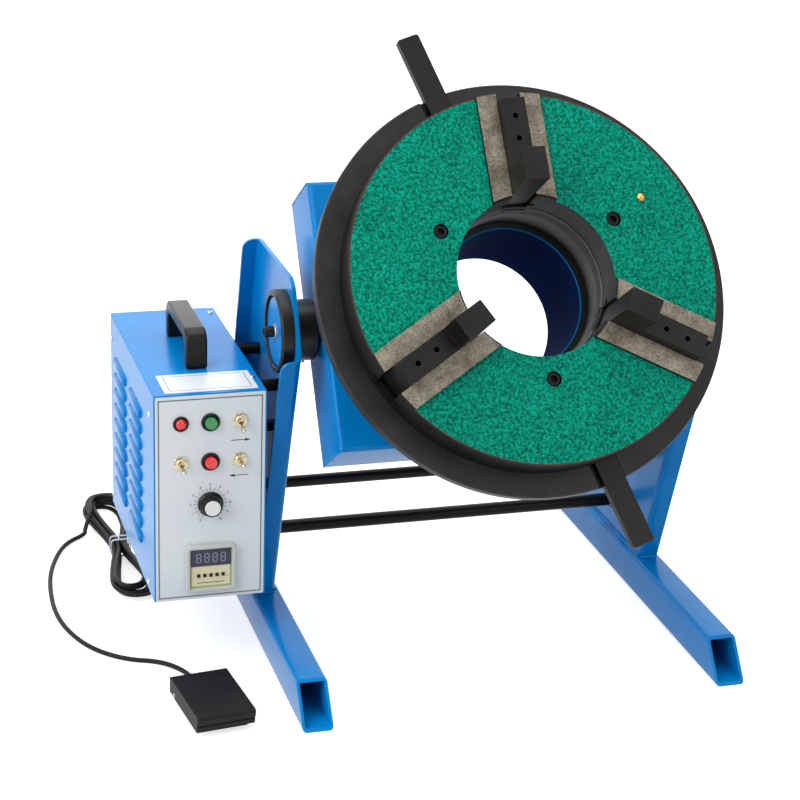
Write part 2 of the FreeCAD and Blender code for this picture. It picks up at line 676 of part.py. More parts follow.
def toothed(made, teeth, hole):
    """A spur gear: a blank of root radius and one involute tooth copied round it."""
    pitch_r = float(gear_module) * teeth / 2
    root = pitch_r - 1.2 * float(gear_module)
    tip = pitch_r + 0.92 * float(gear_module)
    base = pitch_r * math.cos(pressure_angle)

    def half_angle(radius):
        """Half of the tooth's angle at a radius, from the involute of the base circle."""
        slant = math.acos(min(1, base / radius))
        at_pitch = (math.pi * float(gear_module) / 2 - backlash) / 2 / pitch_r
        return at_pitch + math.tan(pressure_angle) - pressure_angle - math.tan(slant) + slant

    flank = [base + (tip - base) * step / 3 for step in range(4)]
    if flank[0] > root:
        flank.insert(0, root - 0.5)
    right = [(r * math.cos(half_angle(r)), -r * math.sin(half_angle(r))) for r in flank if r > root - 1]
    left = [(x, -y) for x, y in reversed(right)]
    blank = circle(sketch_on(made, "XY_Plane", gear_back), 0, 0, root)
    if hole:
        circle(blank, 0, 0, hole)
    pad(made, blank, gear_wide)
    tooth = pad(made, outline(sketch_on(made, "XY_Plane", gear_back), right + left), gear_wide)
    polar(made, [tooth], teeth)


# ---------------------------------------------------------------- the turning table
def spindle():
    tube = new_body("spindle_tube", table_spot())
    front = face_at - chuck_thick - scroll_thick - 1.4 - flange_thick
    turned(tube, [(tube_bore, -tube_back), (tube_r, -tube_back), (tube_r, front), (tube_bore, front)])
    flange = new_body("spindle_flange", table_spot(table_turn + 30))
    turned(flange, [(bore_r, front), (flange_r - 2, front), (flange_r, front + 2),
                    (flange_r, front + flange_thick), (bore_r, front + flange_thick)])
    gear = new_body("ring_gear", table_spot(pinion_turn))
    toothed(gear, ring_teeth, tube_r)


def chuck():
    """The cast chuck body: lands, T slots for the jaws, and a recess over the scroll's thread."""
    made = new_body("chuck_body", table_spot(table_turn + 30))
    back = face_at - chuck_thick
    top = face_at + land_high
    hub_back = back - scroll_thick - 1.4
    ceiling = back + thread_high + 0.2
    turned(made, [(bore_r, hub_back), (hub_r, hub_back), (hub_r, ceiling), (recess_r, ceiling),
                  (recess_r, back), (chuck_r, back), (chuck_r, top - 1), (chuck_r - 1, top),
                  (bore_r + 2, top), (bore_r, top - 2), (bore_r, back), (bore_r + 2.5, back),
                  (bore_r + 2.5, back - 3), (bore_r, back - 3)])
    apex = land_wide / 2 / sin(60)
    reach = chuck_r * 1.5
    sector = outline(sketch_on(made, "XY_Plane", top),
                     [(apex, 0), (apex + reach * cos(60), -reach * sin(60)), (reach * 1.2, -reach * sin(60)),
                      (reach * 1.2, reach * sin(60)), (apex + reach * cos(60), reach * sin(60))])
    between = pocket(made, sector, land_high)
    half = slot_wide / 2
    inner = -(bore_r - 16)
    long_slot = rectangle(sketch_on(made, "XY_Plane", top), -chuck_r - 10, -half, inner, half)
    guide = pocket(made, long_slot, top - back - 5)
    deep_slot = rectangle(sketch_on(made, "XY_Plane", top), 1 - recess_r, -half, inner, half)
    deep = pocket(made, deep_slot, top - back)
    tongue = half + jaw_tongue
    tee = rectangle(sketch_on(made, "YZ_Plane"), -tongue, tongue_low - gap, tongue,
                    tongue_low + jaw_tongue + gap)
    wings = pocket(made, tee, chuck_r + 10)
    head = pocket(made, circle(sketch_on(made, "XY_Plane", top), screw_pcd / 2, 0, head_r + 0.6),
                  land_high + head_long + 1)
    hole = pocket(made, circle(sketch_on(made, "XY_Plane", top), screw_pcd / 2, 0, shank_r + 0.2),
                  top - hub_back + 1)
    polar(made, [between, guide, deep, wings, head, hole], 3)
    nipple = pocket(made, circle(sketch_on(made, "XY_Plane", top), nipple_at, 1, nipple_r), land_high + 8)
    made.Tip = nipple

    screws = []
    for number in range(3):
        spot = table_spot(table_turn + 30 + 120 * number)
        screws.append(cap_screw("chuck_screw_%d" % number, spot, screw_pcd / 2, face_at - 1 - head_long))
    group("chuck_screws", screws)

    nipple = new_body("grease_nipple", table_spot(table_turn + 30))
    seat = face_at - 6
    pad(nipple, circle(sketch_on(nipple, "XY_Plane", seat), nipple_at, 1, nipple_r), 6.5)
    pad(nipple, circle(sketch_on(nipple, "XY_Plane", face_at + 0.5), nipple_at, 1, 2.2), 2.2)


def cap_screw(label, spot, across_x, seat):
    """A socket screw parallel to local Z at a distance along local X."""
    made = new_body(label, spot)
    shank = seat - (face_at - chuck_thick - scroll_thick - 1.4)
    pad(made, circle(sketch_on(made, "XY_Plane", seat), across_x, 0, head_r), head_long)
    pad(made, circle(sketch_on(made, "XY_Plane", seat), across_x, 0, shank_r), shank, flip=True)
    corner = head_r * 0.62
    hexagon = [(across_x + corner * cos(60 * k), corner * sin(60 * k)) for k in range(6)]
    pocket(made, outline(sketch_on(made, "XY_Plane", seat + head_long), hexagon), head_long / 2)
    return made


def scroll():
    """The scroll ring: a flat spiral thread on its face, and two slots for the lever bars."""
    made = new_body("scroll_ring", table_spot(lever_turn))
    front = face_at - chuck_thick - gap
    back = front - scroll_thick
    turned(made, [(hub_r + fit, back), (scroll_r - 1.2, back), (scroll_r, back + 1.2),
                  (scroll_r, front - 1.2), (scroll_r - 1.2, front), (hub_r + fit, front)])
    slots = sketch_on(made, "XY_Plane", front)
    half = lever_wide / 2
    for start, end in ((lever_root, scroll_r + 5), (-scroll_r - 5, -lever_root)):
        rectangle(slots, start, -half, end, half + slot_gap)
    pocket(made, slots, lever_thick)
    thread = sketch_on(made, "XY_Plane", front)
    spiral_thread(thread)
    pad(made, thread, thread_high)
    bars = []
    for turn in (0, 180):
        one = new_body("lever_bar_%d" % turn, table_spot(lever_turn + turn))
        sk = rectangle(sketch_on(one, "XY_Plane", front - lever_thick), lever_root, -half, lever_reach, half)
        pad(one, sk, lever_thick)
        soften(one, 3, lambda edge: along(edge, UP))
        bars.append(one)
    group("lever_bars", bars)


def spiral_thread(sk):
    """A spiral drawn in quarter turns: each arc's centre steps round a small square."""
    pitch, low, half = float(scroll_pitch), float(thread_low), float(scroll_pitch) / 4
    quarters = int(4 * (float(thread_top) - low) / pitch)
    offset = pitch / 8

    def arc(number, widen):
        turn = math.pi / 2 * number
        angle = turn + 3 * math.pi / 4
        centre = V(offset * 2 ** 0.5 * math.cos(angle), offset * 2 ** 0.5 * math.sin(angle), 0)
        radius = low + offset + pitch / 4 * number + widen
        return Part.ArcOfCircle(Part.Circle(centre, UP, radius), turn, turn + math.pi / 2)

    outer = [arc(number, half) for number in range(quarters)]
    inner = [arc(number, -half) for number in range(quarters)]
    for one in outer + inner:
        sk.addGeometry(one)
    sk.addGeometry(Part.LineSegment(inner[0].StartPoint, outer[0].StartPoint))
    sk.addGeometry(Part.LineSegment(inner[-1].EndPoint, outer[-1].EndPoint))
    return sk


def jaw(number):
    """A stepped jaw with guide tongues, and teeth underneath that ride in the scroll's spiral."""
    turn = table_turn + 90 + 120 * number
    made = new_body("jaw_%d" % (number + 1), table_spot(turn))
    top = face_at + land_high
    back = face_at - chuck_thick
    sole = back + gap
    lift = back + 5 + gap
    base_top, step_top = top + jaw_base_high, top + jaw_step_high
    step_end = jaw_low + jaw_step + 1
    profile = [(jaw_low, sole), (jaw_far - 7, sole), (jaw_far - 7, lift), (jaw_far, lift),
               (jaw_far, base_top), (step_end, base_top), (step_end, step_top), (jaw_low, step_top)]
    pad(made, outline(sketch_on(made, "XZ_Plane"), profile), jaw_wide, middle=True)
    wings = rectangle(sketch_on(made, "XZ_Plane"), jaw_low, tongue_low, jaw_far, tongue_low + jaw_tongue)
    pad(made, wings, jaw_wide + jaw_tongue * 2, middle=True)
    half = scroll_pitch / 4 + thread_play
    around = ((float(turn) - float(lever_turn)) % 360) / 360
    grooves = sketch_on(made, "XZ_Plane")
    last = int((float(jaw_far) - float(thread_low)) / float(scroll_pitch))
    for turns in range(-1, last + 1):
        middle = thread_low + scroll_pitch * (around + turns)
        if float(middle) - float(half) < float(jaw_far) - 8:
            rectangle(grooves, middle - half, sole - 2, middle + half, back + thread_high + 0.3)
    cut = feature_of(made, "Groove", grooves)
    cut.ReferenceAxis = (grooves, ["V_Axis"])
    cut.Angle = 360
    holes = sketch_on(made, "XY_Plane", base_top)
    for radius in (jaw_low + 50, jaw_low + 72):
        circle(holes, radius, 0, jaw_hole_r)
    pocket(made, holes, 15)


# ---------------------------------------------------------------- the control box
def box():
    """A folded cover over a folded chassis, with a white panel in front."""
    shell = new_body("box_shell", box_spot())
    half = box_wide / 2
    pad(shell, rectangle(sketch_on(shell, "XY_Plane"), -half, 0, half, box_deep), box_high)

    def top_bend(edge):
        return along(edge, V(0, 1, 0)) and edge.CenterOfMass.z > float(box_high) - 1

    soften(shell, 2, top_bend)
    inside = half - box_sheet
    hollow = rectangle(sketch_on(shell, "XY_Plane", -1), -inside, -5, inside, box_deep + 5)
    pocket(shell, hollow, box_high + 1 - box_sheet, flip=True)
    louvers(shell)

    chassis = new_body("box_chassis", box_spot())
    profile = [(panel_thick, 0), (box_deep, 0), (box_deep, box_high - box_sheet),
               (box_deep - box_sheet, box_high - box_sheet), (box_deep - box_sheet, box_sheet),
               (panel_thick, box_sheet)]
    pad(chassis, outline(sketch_on(chassis, "YZ_Plane"), profile), inside * 2, middle=True)
    holes = circle(sketch_on(chassis, "XZ_Plane", -box_deep), gland_x, gland_row, gland_r)
    circle(holes, motor_socket_x, socket_row, motor_socket_r)
    rectangle(holes, inlet_x - inlet_half, socket_row - 10, inlet_x + inlet_half, socket_row + 10)
    pocket(chassis, holes, box_sheet + 1, flip=True)

    panel = new_body("box_front_panel", on_panel(0, 0))
    sk = rectangle(sketch_on(panel, "XY_Plane", -panel_thick), -inside, 0, inside, box_high - box_sheet)
    circle(sk, -column_gap, row_top, lamp_r)
    for x, row in BUTTONS:
        circle(sk, x, row, button_hole_r)
    for x, row in TOGGLES:
        circle(sk, x, row, barrel_r)
    circle(sk, 0, knob_row, bush_r)
    cutout = timer_wide / 2 - 1.5
    rectangle(sk, -cutout, timer_row - cutout, cutout, timer_row + cutout)
    pad(panel, sk, panel_thick)


def louvers(shell):
    """Pressed cooling louvers in two columns on the outer side: long domes, open along their bottom."""
    half, side = louver_high / 2, -box_wide / 2
    straight = louver_long / 2 - half
    middle, row = louver_front + louver_long / 2, louver_row

    def stadium(sk, shrink):
        low, high, radius = float(middle - straight), float(middle + straight), float(half - shrink)
        centre = float(row)
        ends = ((high, -math.pi / 2, math.pi / 2), (low, math.pi / 2, 3 * math.pi / 2))
        arcs = [Part.ArcOfCircle(Part.Circle(V(x, centre, 0), UP, radius), a, b) for x, a, b in ends]
        for one in arcs:
            sk.addGeometry(one)
        for one, two in ((0, 1), (1, 0)):
            sk.addGeometry(Part.LineSegment(arcs[one].EndPoint, arcs[two].StartPoint))
        return sk

    dome = pad(shell, stadium(sketch_on(shell, "YZ_Plane", side), 0), louver_proud, flip=True)
    dome.TaperAngle = -35
    hollow = pocket(shell, stadium(sketch_on(shell, "YZ_Plane", side + box_sheet + 0.5), 2.4),
                    louver_proud + 0.7)
    slit = rectangle(sketch_on(shell, "YZ_Plane", side + box_sheet + 0.5), middle - straight, row - half,
                     middle + straight, row - half + 1.4)
    slot = pocket(shell, slit, louver_proud + 4)
    grid = shell.newObject("PartDesign::LinearPattern", "louver_grid")
    grid.Originals = [dome, hollow, slot]
    axes = {feature.Role: feature for feature in shell.Origin.OriginFeatures}
    grid.Direction = (axes["Z_Axis"], [""])
    grid.Length = float(louver_pitch) * (louver_rows - 1)
    grid.Occurrences = louver_rows
    grid.Direction2 = (axes["Y_Axis"], [""])
    grid.Length2 = float(louver_shift)
    grid.Occurrences2 = 2
    shell.Tip = grid


def handle():
    """A black moulded bridge handle, screwed to the top of the box."""
    made = new_body("carry_handle", box_spot(0, handle_front, box_high))
    profile = outline(sketch_on(made, "YZ_Plane"),
                      [(0, 0), (handle_long, 0), (handle_long, handle_high), (0, handle_high)])
    pad(made, profile, handle_wide, middle=True)
    soften(made, 13, lambda edge: along(edge, V(1, 0, 0)) and edge.CenterOfMass.z > 5)
    leg, grip = 13, 12
    opening = rectangle(sketch_on(made, "YZ_Plane"), leg, -1, handle_long - leg, handle_high - grip)
    cut_through(made, opening)

    def long_corner(edge):
        at_top = abs(edge.CenterOfMass.z - float(handle_high)) < 0.01
        return at_top and along(edge, V(0, 1, 0))

    soften(made, 2.5, long_corner)


def box_screws():
    """Small pan-head screws that hold the cover."""
    heads = []
    half = float(box_wide) / 2
    for number, (y, z) in enumerate(((22, 186.5), (32, 3.5 + 4), (249, 186.5), (249, 12))):
        for side in (-1, 1):
            turn = FreeCAD.Rotation(V(0, 1, 0), 90 * side)
            heads.append(pan_head("side_screw_%d_%d" % (number, side + 1), box_spot(side * half, y, z, turn)))
    for number, y in enumerate((36, 237)):
        heads.append(pan_head("top_screw_%d" % number, box_spot(half - 7, y, box_high)))
    group("box_screws", heads)


def pan_head(label, spot):
    made = new_body(label, spot)
    turned(made, [(0, 0), (3.2, 0), (2.9, 1.1), (1.9, 1.7), (0, 1.7)])
    return made


# ---------------------------------------------------------------- controls on the panel
def controls():
    """The lamp, two push buttons, three toggles, the speed knob and the timer."""
    lamp = new_body("pilot_lamp", on_panel(-column_gap, row_top))
    turned(lamp, [(0, -14), (lamp_r, -14), (lamp_r, 2.2), (lamp_r - 0.5, 3.6), (lamp_r - 2.5, 4.8), (0, 5.2)])

    bezels = []
    lamp_ring = new_body("lamp_ring", on_panel(-column_gap, row_top))
    turned(lamp_ring, [(lamp_r, 0), (lamp_r + 2, 0), (lamp_r + 2, 1.6), (lamp_r + 1.2, 2.4), (lamp_r, 2.4)])
    bezels.append(lamp_ring)
    for number, (x, row) in enumerate(BUTTONS):
        one = new_body("button_bezel_%d" % number, on_panel(x, row))
        stem, well = 3 + fit, 6 + gap
        turned(one, [(stem, -18), (button_hole_r, -18), (button_hole_r, 0), (9, 0), (9, 1.8), (8, 2.8),
                     (well, 2.8), (well, -2.5), (stem, -2.5)])
        bezels.append(one)
    group("panel_bezels", bezels)
    for name, (x, row) in zip(("reset_button", "lock_button"), BUTTONS):
        cap = new_body(name, on_panel(x, row))
        turned(cap, [(0, -14), (3, -14), (3, 0), (6, 0), (6, 5.6), (5.2, 6.6), (0, 6.9)])

    bushings = []
    for number, (x, row) in enumerate(TOGGLES):
        one = new_body("toggle_bushing_%d" % number, on_panel(x, row))
        turned(one, [(0, -16), (6, -16), (6, -panel_thick), (barrel_r, -panel_thick), (barrel_r, 0), (7.4, 0),
                     (7.4, 1), (5.6, 1.2), (5.6, 3.2), (4.9, 3.8), (barrel_r, 3.8), (barrel_r, 6), (2.7, 6),
                     (2.7, -6), (0, -6)])
        bushings.append(one)
    group("toggle_bushings", bushings)
    names = ("power_toggle", "mode_toggle", "direction_toggle")
    for name, (x, row), drop in zip(names, TOGGLES, (16, 8, 0)):
        lever = new_body(name, on_panel(x, row, drop))
        turned(lever, [(0, -3.5), (1, -3.5), (1.3, 0), (1, 2), (0.8, 6), (0.8, 7.5), (1.3, 9), (1.9, 17), (1.5, 18.6),
                       (0, 19.2)])

    pot = new_body("speed_control", on_panel(0, knob_row))
    turned(pot, [(3 + fit, -12), (3 + fit, 0.6), (bush_r, 0.6), (bush_r, -panel_thick), (12, -panel_thick),
                 (12, -18), (0, -18), (0, -12)])
    knob = new_body("speed_knob", on_panel(0, knob_row))
    turned(knob, [(0, -11.6), (3, -11.6), (3, 1), (12.5, 1), (12.5, 3), (10, 4.4), (9, 11.6), (8, 13.4),
                  (7.6, 13.8), (0, 13.8)])

    case = new_body("timer_case", on_panel(0, timer_row))
    half = timer_wide / 2
    front = rectangle(sketch_on(case, "XY_Plane"), -half, -half, half, half)
    pad(case, front, 6)
    soften(case, 2.5, lambda edge: along(edge, UP))
    rear = half - 1.75
    pad(case, rectangle(sketch_on(case, "XY_Plane", -60), -rear, -rear, rear, rear), 60)
    pocket(case, rectangle(sketch_on(case, "XY_Plane", 6), -half + 3.5, -half + 3.5, half - 3.5, half - 3.5), 2)
    window = new_body("timer_window", on_panel(0, timer_row))
    pane = half - 3.6
    pad(window, rectangle(sketch_on(window, "XY_Plane", 4), -pane, -pane, pane, pane), 1.4)


def electrics():
    """What the box holds, and the fittings on its back."""
    board_at = box_spot(board_in - box_wide / 2, board_from, board_up)
    block("control_board", board_at, board_thick, board_long, board_high)
    iron = block("transformer_iron", box_spot(-5, iron_from, box_sheet), iron_wide, iron_deep, iron_high)
    coil_at = box_spot(-5 - (coil_wide - iron_wide) / 2, iron_from + (iron_deep - coil_deep) / 2,
                       box_sheet + (iron_high - coil_high) / 2)
    coil = block("transformer_coil", coil_at, coil_wide, coil_deep, coil_high)
    whole = doc.addObject("Part::Fuse", "transformer")
    whole.Label = "transformer"
    whole.Base, whole.Tool = iron, coil
    for part in (iron, coil):
        nodes.pop(part.Label)
    nodes["transformer"] = whole

    behind = FreeCAD.Rotation(V(1, 0, 0), -90)
    gland = new_body("cord_gland", box_spot(gland_x, box_deep, gland_row, behind))
    hole = cord_r + fit
    turned(gland, [(hole, -8), (gland_r + 2, -8), (gland_r + 2, -box_sheet), (gland_r, -box_sheet), (gland_r, 0),
                   (gland_r + 2.5, 0), (gland_r + 2.5, 5), (gland_r, 9), (gland_r - 1, 12), (hole, 12)])
    inlet = new_body("mains_inlet", box_spot(inlet_x, box_deep, socket_row, behind))
    pad(inlet, rectangle(sketch_on(inlet, "XY_Plane", -22), -inlet_half, -10, inlet_half, 10), 22)
    rim = rectangle(sketch_on(inlet, "XY_Plane"), -inlet_half - 6, -12, inlet_half + 6, 12)
    pad(inlet, rim, 3)
    pocket(inlet, rectangle(sketch_on(inlet, "XY_Plane", 3), -inlet_half + 2, -8, inlet_half - 2, 8), 18)
    socket = new_body("motor_socket", box_spot(motor_socket_x, box_deep, socket_row, behind))
    radius = motor_socket_r
    turned(socket, [(0, -16), (radius, -16), (radius, 0), (radius + 3.5, 0), (radius + 3.5, 2.5),
                    (radius, 2.5), (radius, 11), (radius - 1.8, 11), (radius - 1.8, -6), (0, -6)])
    group("rear_sockets", [inlet, socket])


# ---------------------------------------------------------------- foot pedal
def pedal():
    """A plate with two ears, a pin through them, and a hollow tread that rocks on the pin."""
    spot = frame_spot(pedal_x, pedal_y, 0, FreeCAD.Rotation(UP, float(pedal_turn)))
    back, front, half = pedal_long / 2, -pedal_long / 2, pedal_wide / 2
    pin_y, pin_z = back - 14, 10
    inner = half - pedal_wall

    base = new_body("pedal_base", spot)
    plate = rectangle(sketch_on(base, "XY_Plane"), -inner + 1, front + 14, inner - 1, back - pedal_wall - 1)
    pad(base, plate, 3)
    ears = sketch_on(base, "XY_Plane")
    for side in (-1, 1):
        rectangle(ears, side * (inner - 2) - 1, pin_y - 8, side * (inner - 2) + 1, back - pedal_wall - 1)
    pad(base, ears, 14.5)
    cord_block = rectangle(sketch_on(base, "XY_Plane"), -7, back - 13, 7, back - pedal_wall - 1)
    pad(base, cord_block, 15)
    cut_through(base, circle(sketch_on(base, "YZ_Plane"), pin_y, pin_z, pin_r))
    pocket(base, circle(sketch_on(base, "XZ_Plane", -back), 0, cord_up, cord_r + fit), 11, flip=True)

    tread = new_body("pedal_tread", spot)
    profile = [(front + 3.5, 7), (front, pedal_high - 3.5), (front + 1, pedal_high - 0.8),
               (front + 3, pedal_high), (back - 1, pedal_high), (back, pedal_high - 1), (back, 7)]
    pad(tread, outline(sketch_on(tread, "YZ_Plane"), profile), pedal_wide, middle=True)
    hollow = rectangle(sketch_on(tread, "XY_Plane", 5), -inner, front + 6, inner, back - pedal_wall)
    pocket(tread, hollow, pedal_high - 5 - pedal_wall, flip=True)
    cut_through(tread, circle(sketch_on(tread, "YZ_Plane"), pin_y, pin_z, pin_r + fit))
    notch = rectangle(sketch_on(tread, "XZ_Plane", -back - 1), -6, 5, 6, 16)
    pocket(tread, notch, pedal_wall + 2, flip=True)

    sideways = spot[3].multiply(FreeCAD.Rotation(V(0, 1, 0), 90))
    start = spot[3].multVec(V(-float(half), float(pin_y), pin_z))
    bar("pedal_pin", frame_spot(pedal_x + start.x, pedal_y + start.y, pin_z, sideways), pin_r, pedal_wide)


# ---------------------------------------------------------------- cord
def cord(label, route):
    """A round cord: straight runs joined by tangent arcs, each as wide as its shorter run allows."""
    points = [V(float(mid_x) + x, float(tilt_y) + y, z) for x, y, z in route]
    edges, start, length, tightest = [], points[0], 0, HUGE
    for before, corner, after in zip(points, points[1:], points[2:]):
        came, goes = (corner - before), (after - corner)
        half_turn = came.getAngle(goes) / 2
        cut = 0.45 * min(came.Length, goes.Length)
        radius = cut / math.tan(half_turn)
        tightest = min(tightest, radius)
        into = corner - came * (cut / came.Length)
        out = corner + goes * (cut / goes.Length)
        inward = (goes * (1 / goes.Length) - came * (1 / came.Length)).normalize()
        middle = corner + inward * (radius / math.cos(half_turn) - radius)
        edges += [Part.LineSegment(start, into).toShape(), Part.Arc(into, middle, out).toShape()]
        start = out
    edges.append(Part.LineSegment(start, points[-1]).toShape())
    path = Part.Wire(edges)
    radius = float(cord_r)
    section = Part.Face(Part.Wire([Part.makeCircle(radius, points[0], points[1] - points[0])]))
    made = doc.addObject("Part::Feature", label)
    made.Label = label
    made.Shape = path.makePipe(section)
    nodes[label] = made
    expected = math.pi * radius ** 2 * path.Length
    print("%s: %.0f long, tightest bend %.1f, volume %.4f of its section times its length"
          % (label, path.Length, tightest, made.Shape.Volume / expected))
    return made


def cords():
    """The pedal's cord: a run along the floor, a tied hank beside the box, and a run up to the gland."""
    cord("cord_floor_run", CORD_FLOOR_RUN)
    cord("cord_box_run", CORD_BOX_RUN)
    hank = new_body("cord_hank", frame_spot(hank_x, hank_y))
    far, near = 141, -121
    outer = [(8, 0), (21, 85), (21, 124), (12, far), (-12, far), (-21, 124), (-21, 85), (-8, 0), (-16, -75),
             (-16, -106), (-8, near), (8, near), (16, -106), (16, -75)]
    sk = outline(sketch_on(hank, "XY_Plane", hank_low), outer)
    outline(sk, [(0, 50), (10, 95), (10, 119), (5, 129), (-5, 129), (-10, 119), (-10, 95)])
    outline(sk, [(0, -45), (6, -80), (6, -102), (3, -109), (-3, -109), (-6, -102), (-6, -80)])
    pad(hank, sk, hank_high)
    tie = new_body("hank_tie", frame_spot(hank_x, hank_y))
    band = sketch_on(tie, "XZ_Plane")
    top = hank_low + hank_high
    rectangle(band, -11, 0, 11, top + hank_low)
    pad(tie, band, 14, middle=True)
    cut_through(tie, rectangle(sketch_on(tie, "XZ_Plane"), -9.8, hank_low - fit, 9.8, top + fit))


# ---------------------------------------------------------------- building and writing
foot("left_foot", -1)
foot("right_foot", 1)
upright("left_upright", -1, True)
upright("right_upright", 1, False)
crossbars()
tilt_hardware()
housing()
drive()
spindle()
chuck()
scroll()
for index in range(3):
    jaw(index)
box()
handle()
box_screws()
controls()
electrics()
pedal()
cords()

doc.recompute()
for thing in doc.Objects:
    bad = [word for word in thing.State if word in ("Invalid", "Error")]
    if bad:
        raise RuntimeError("%s is %s" % (thing.Name, bad))
os.makedirs("parts", exist_ok=True)
whole_box = FreeCAD.BoundBox()
for label, thing in nodes.items():
    shape = thing.Shape
    if shape.isNull() or not shape.isValid():
        raise RuntimeError("%s has no valid shape" % label)
    shape.exportStep("parts/%s.step" % label)
    extent = shape.optimalBoundingBox(False)
    if not label.startswith("cord") and label != "hank_tie":
        whole_box.add(extent)
    print("%-22s %9.0f mm3  %d solids  x %.1f..%.1f  y %.1f..%.1f  z %.1f..%.1f"
          % (label, shape.Volume, len(shape.Solids), extent.XMin, extent.XMax, extent.YMin, extent.YMax,
             extent.ZMin, extent.ZMax))
print("%d sub-parts; without the cord x %.2f..%.2f  y %.2f..%.2f  z %.2f..%.2f"
      % (len(nodes), whole_box.XMin, whole_box.XMax, whole_box.YMin, whole_box.YMax, whole_box.ZMin,
         whole_box.ZMax))
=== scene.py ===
# %% [markdown]
# # A welding positioner
# A leaning two-leg frame carries a tilting housing; the housing carries a turning table with a
# three-jaw scroll chuck; a control box hangs on the left leg and a foot pedal lies on the floor.
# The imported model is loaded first.  It fixes the sizes and places, and the pieces made here dress it.

# %% Load the frame
import json
import math

import bmesh
import bpy
from mathutils import Matrix, Vector, noise


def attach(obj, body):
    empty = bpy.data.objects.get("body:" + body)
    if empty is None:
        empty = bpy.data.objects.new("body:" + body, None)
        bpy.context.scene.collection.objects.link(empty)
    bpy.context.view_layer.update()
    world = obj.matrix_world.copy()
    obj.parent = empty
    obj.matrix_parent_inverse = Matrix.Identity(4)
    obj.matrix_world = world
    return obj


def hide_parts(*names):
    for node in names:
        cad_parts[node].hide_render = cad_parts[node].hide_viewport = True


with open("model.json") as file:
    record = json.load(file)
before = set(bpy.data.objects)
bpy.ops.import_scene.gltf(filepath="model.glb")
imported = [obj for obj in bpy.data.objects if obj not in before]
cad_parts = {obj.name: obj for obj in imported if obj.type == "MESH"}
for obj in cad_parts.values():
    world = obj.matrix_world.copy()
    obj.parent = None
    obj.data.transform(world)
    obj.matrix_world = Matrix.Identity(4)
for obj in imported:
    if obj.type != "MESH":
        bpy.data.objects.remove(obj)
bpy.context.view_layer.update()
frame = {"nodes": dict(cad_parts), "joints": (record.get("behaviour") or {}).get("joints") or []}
joints = {joint["name"]: joint for joint in frame["joints"]}

# %% [markdown]
# ## Where things are
# Sizes below are in millimetres, because that is how a workshop drawing gives them, and MM turns them
# into the scene's metres.  Four small frames of reference save a lot of arithmetic: the leaning frame
# (from the middle plane, the tilt axis and the floor), the table (its Z along the spin axis), the
# control box, and its front panel (its Z towards the operator).

# %% Frames of reference
MM = 0.001
tilt_point = Vector(joints["table_tilt"]["pos_m"])
spin_axis = Vector(joints["table_spin"]["axis"]).normalized()
MID_X, TILT_Y, TILT_Z = tilt_point / MM


def placed(origin, x_axis, y_axis, z_axis):
    """A matrix that takes millimetres along three axes to metres in the scene."""
    axes = Matrix((x_axis, y_axis, z_axis)).transposed().to_4x4()
    return Matrix.Translation(origin) @ axes @ Matrix.Scale(MM, 4)


def turn_x(degrees):
    return Matrix.Rotation(math.radians(degrees), 4, "X")


def turn_y(degrees):
    return Matrix.Rotation(math.radians(degrees), 4, "Y")


def turn_z(degrees):
    return Matrix.Rotation(math.radians(degrees), 4, "Z")


def shift(x=0, y=0, z=0):
    return Matrix.Translation((x, y, z))


def add_object(name, data):
    """A new object that stands in the scene."""
    thing = bpy.data.objects.new(name, data)
    bpy.context.scene.collection.objects.link(thing)
    return thing


FRAME = placed(Vector((MID_X, TILT_Y, 0)) * MM, (1, 0, 0), (0, 1, 0), (0, 0, 1))
TABLE = placed(tilt_point, (1, 0, 0), spin_axis.cross(Vector((1, 0, 0))), spin_axis)
BOX_WIDE, BOX_DEEP, BOX_HIGH, BOX_SIDE, BOX_FRONT, BOX_LOW = 109, 254, 212.5, -229.8, -32, 78.3
BOX = FRAME @ shift(BOX_SIDE - BOX_WIDE / 2, BOX_FRONT, BOX_LOW)
PANEL = BOX @ turn_x(90)


# %% [markdown]
# ## The camera
# A long lens stands well back, a little above the table and to its left, and looks slightly down.

# %% Camera
def look(position, yaw, pitch, roll, lens):
    """A camera from its heading to the right of +Y, its dip and its roll, in degrees."""
    yaw, pitch, roll = (math.radians(angle) for angle in (yaw, pitch, roll))
    ahead = Vector((math.sin(yaw) * math.cos(pitch), math.cos(yaw) * math.cos(pitch), -math.sin(pitch)))
    right = Vector((math.cos(yaw), -math.sin(yaw), 0))
    above = right.cross(ahead)
    right_rolled = math.cos(roll) * right + math.sin(roll) * above
    above_rolled = -math.sin(roll) * right + math.cos(roll) * above
    data = bpy.data.cameras.new("camera")
    data.lens, data.sensor_width, data.clip_end = lens, 36, 50
    camera = add_object("camera", data)
    axes = Matrix((right_rolled, above_rolled, -ahead)).transposed().to_4x4()
    camera.matrix_world = Matrix.Translation(position) @ axes
    bpy.context.scene.camera = camera


camera_place = Vector((MID_X - 659.6, TILT_Y - 1875.2, 988.1)) * MM
look(camera_place, yaw=16.94, pitch=20.43, roll=2.09, lens=95.7)

# %% [markdown]
# ## Materials
# Every finish is built from one Principled shader.  `add_node` is the only helper: it adds a node,
# sets what it is told and makes its links.  Patterns read Object coordinates, which are metres here, so
# a pattern that repeats every `size` millimetres has a scale of `1 / (size * MM)`.


# %% Helpers for materials
def colour(hex_text):
    """A linear colour from the sRGB hex code that a paint chart would give."""
    channels = [int(hex_text[place:place + 2], 16) / 255 for place in (1, 3, 5)]
    linear = [c / 12.92 if c <= 0.04045 else ((c + 0.055) / 1.055) ** 2.4 for c in channels]
    return linear + [1.0]


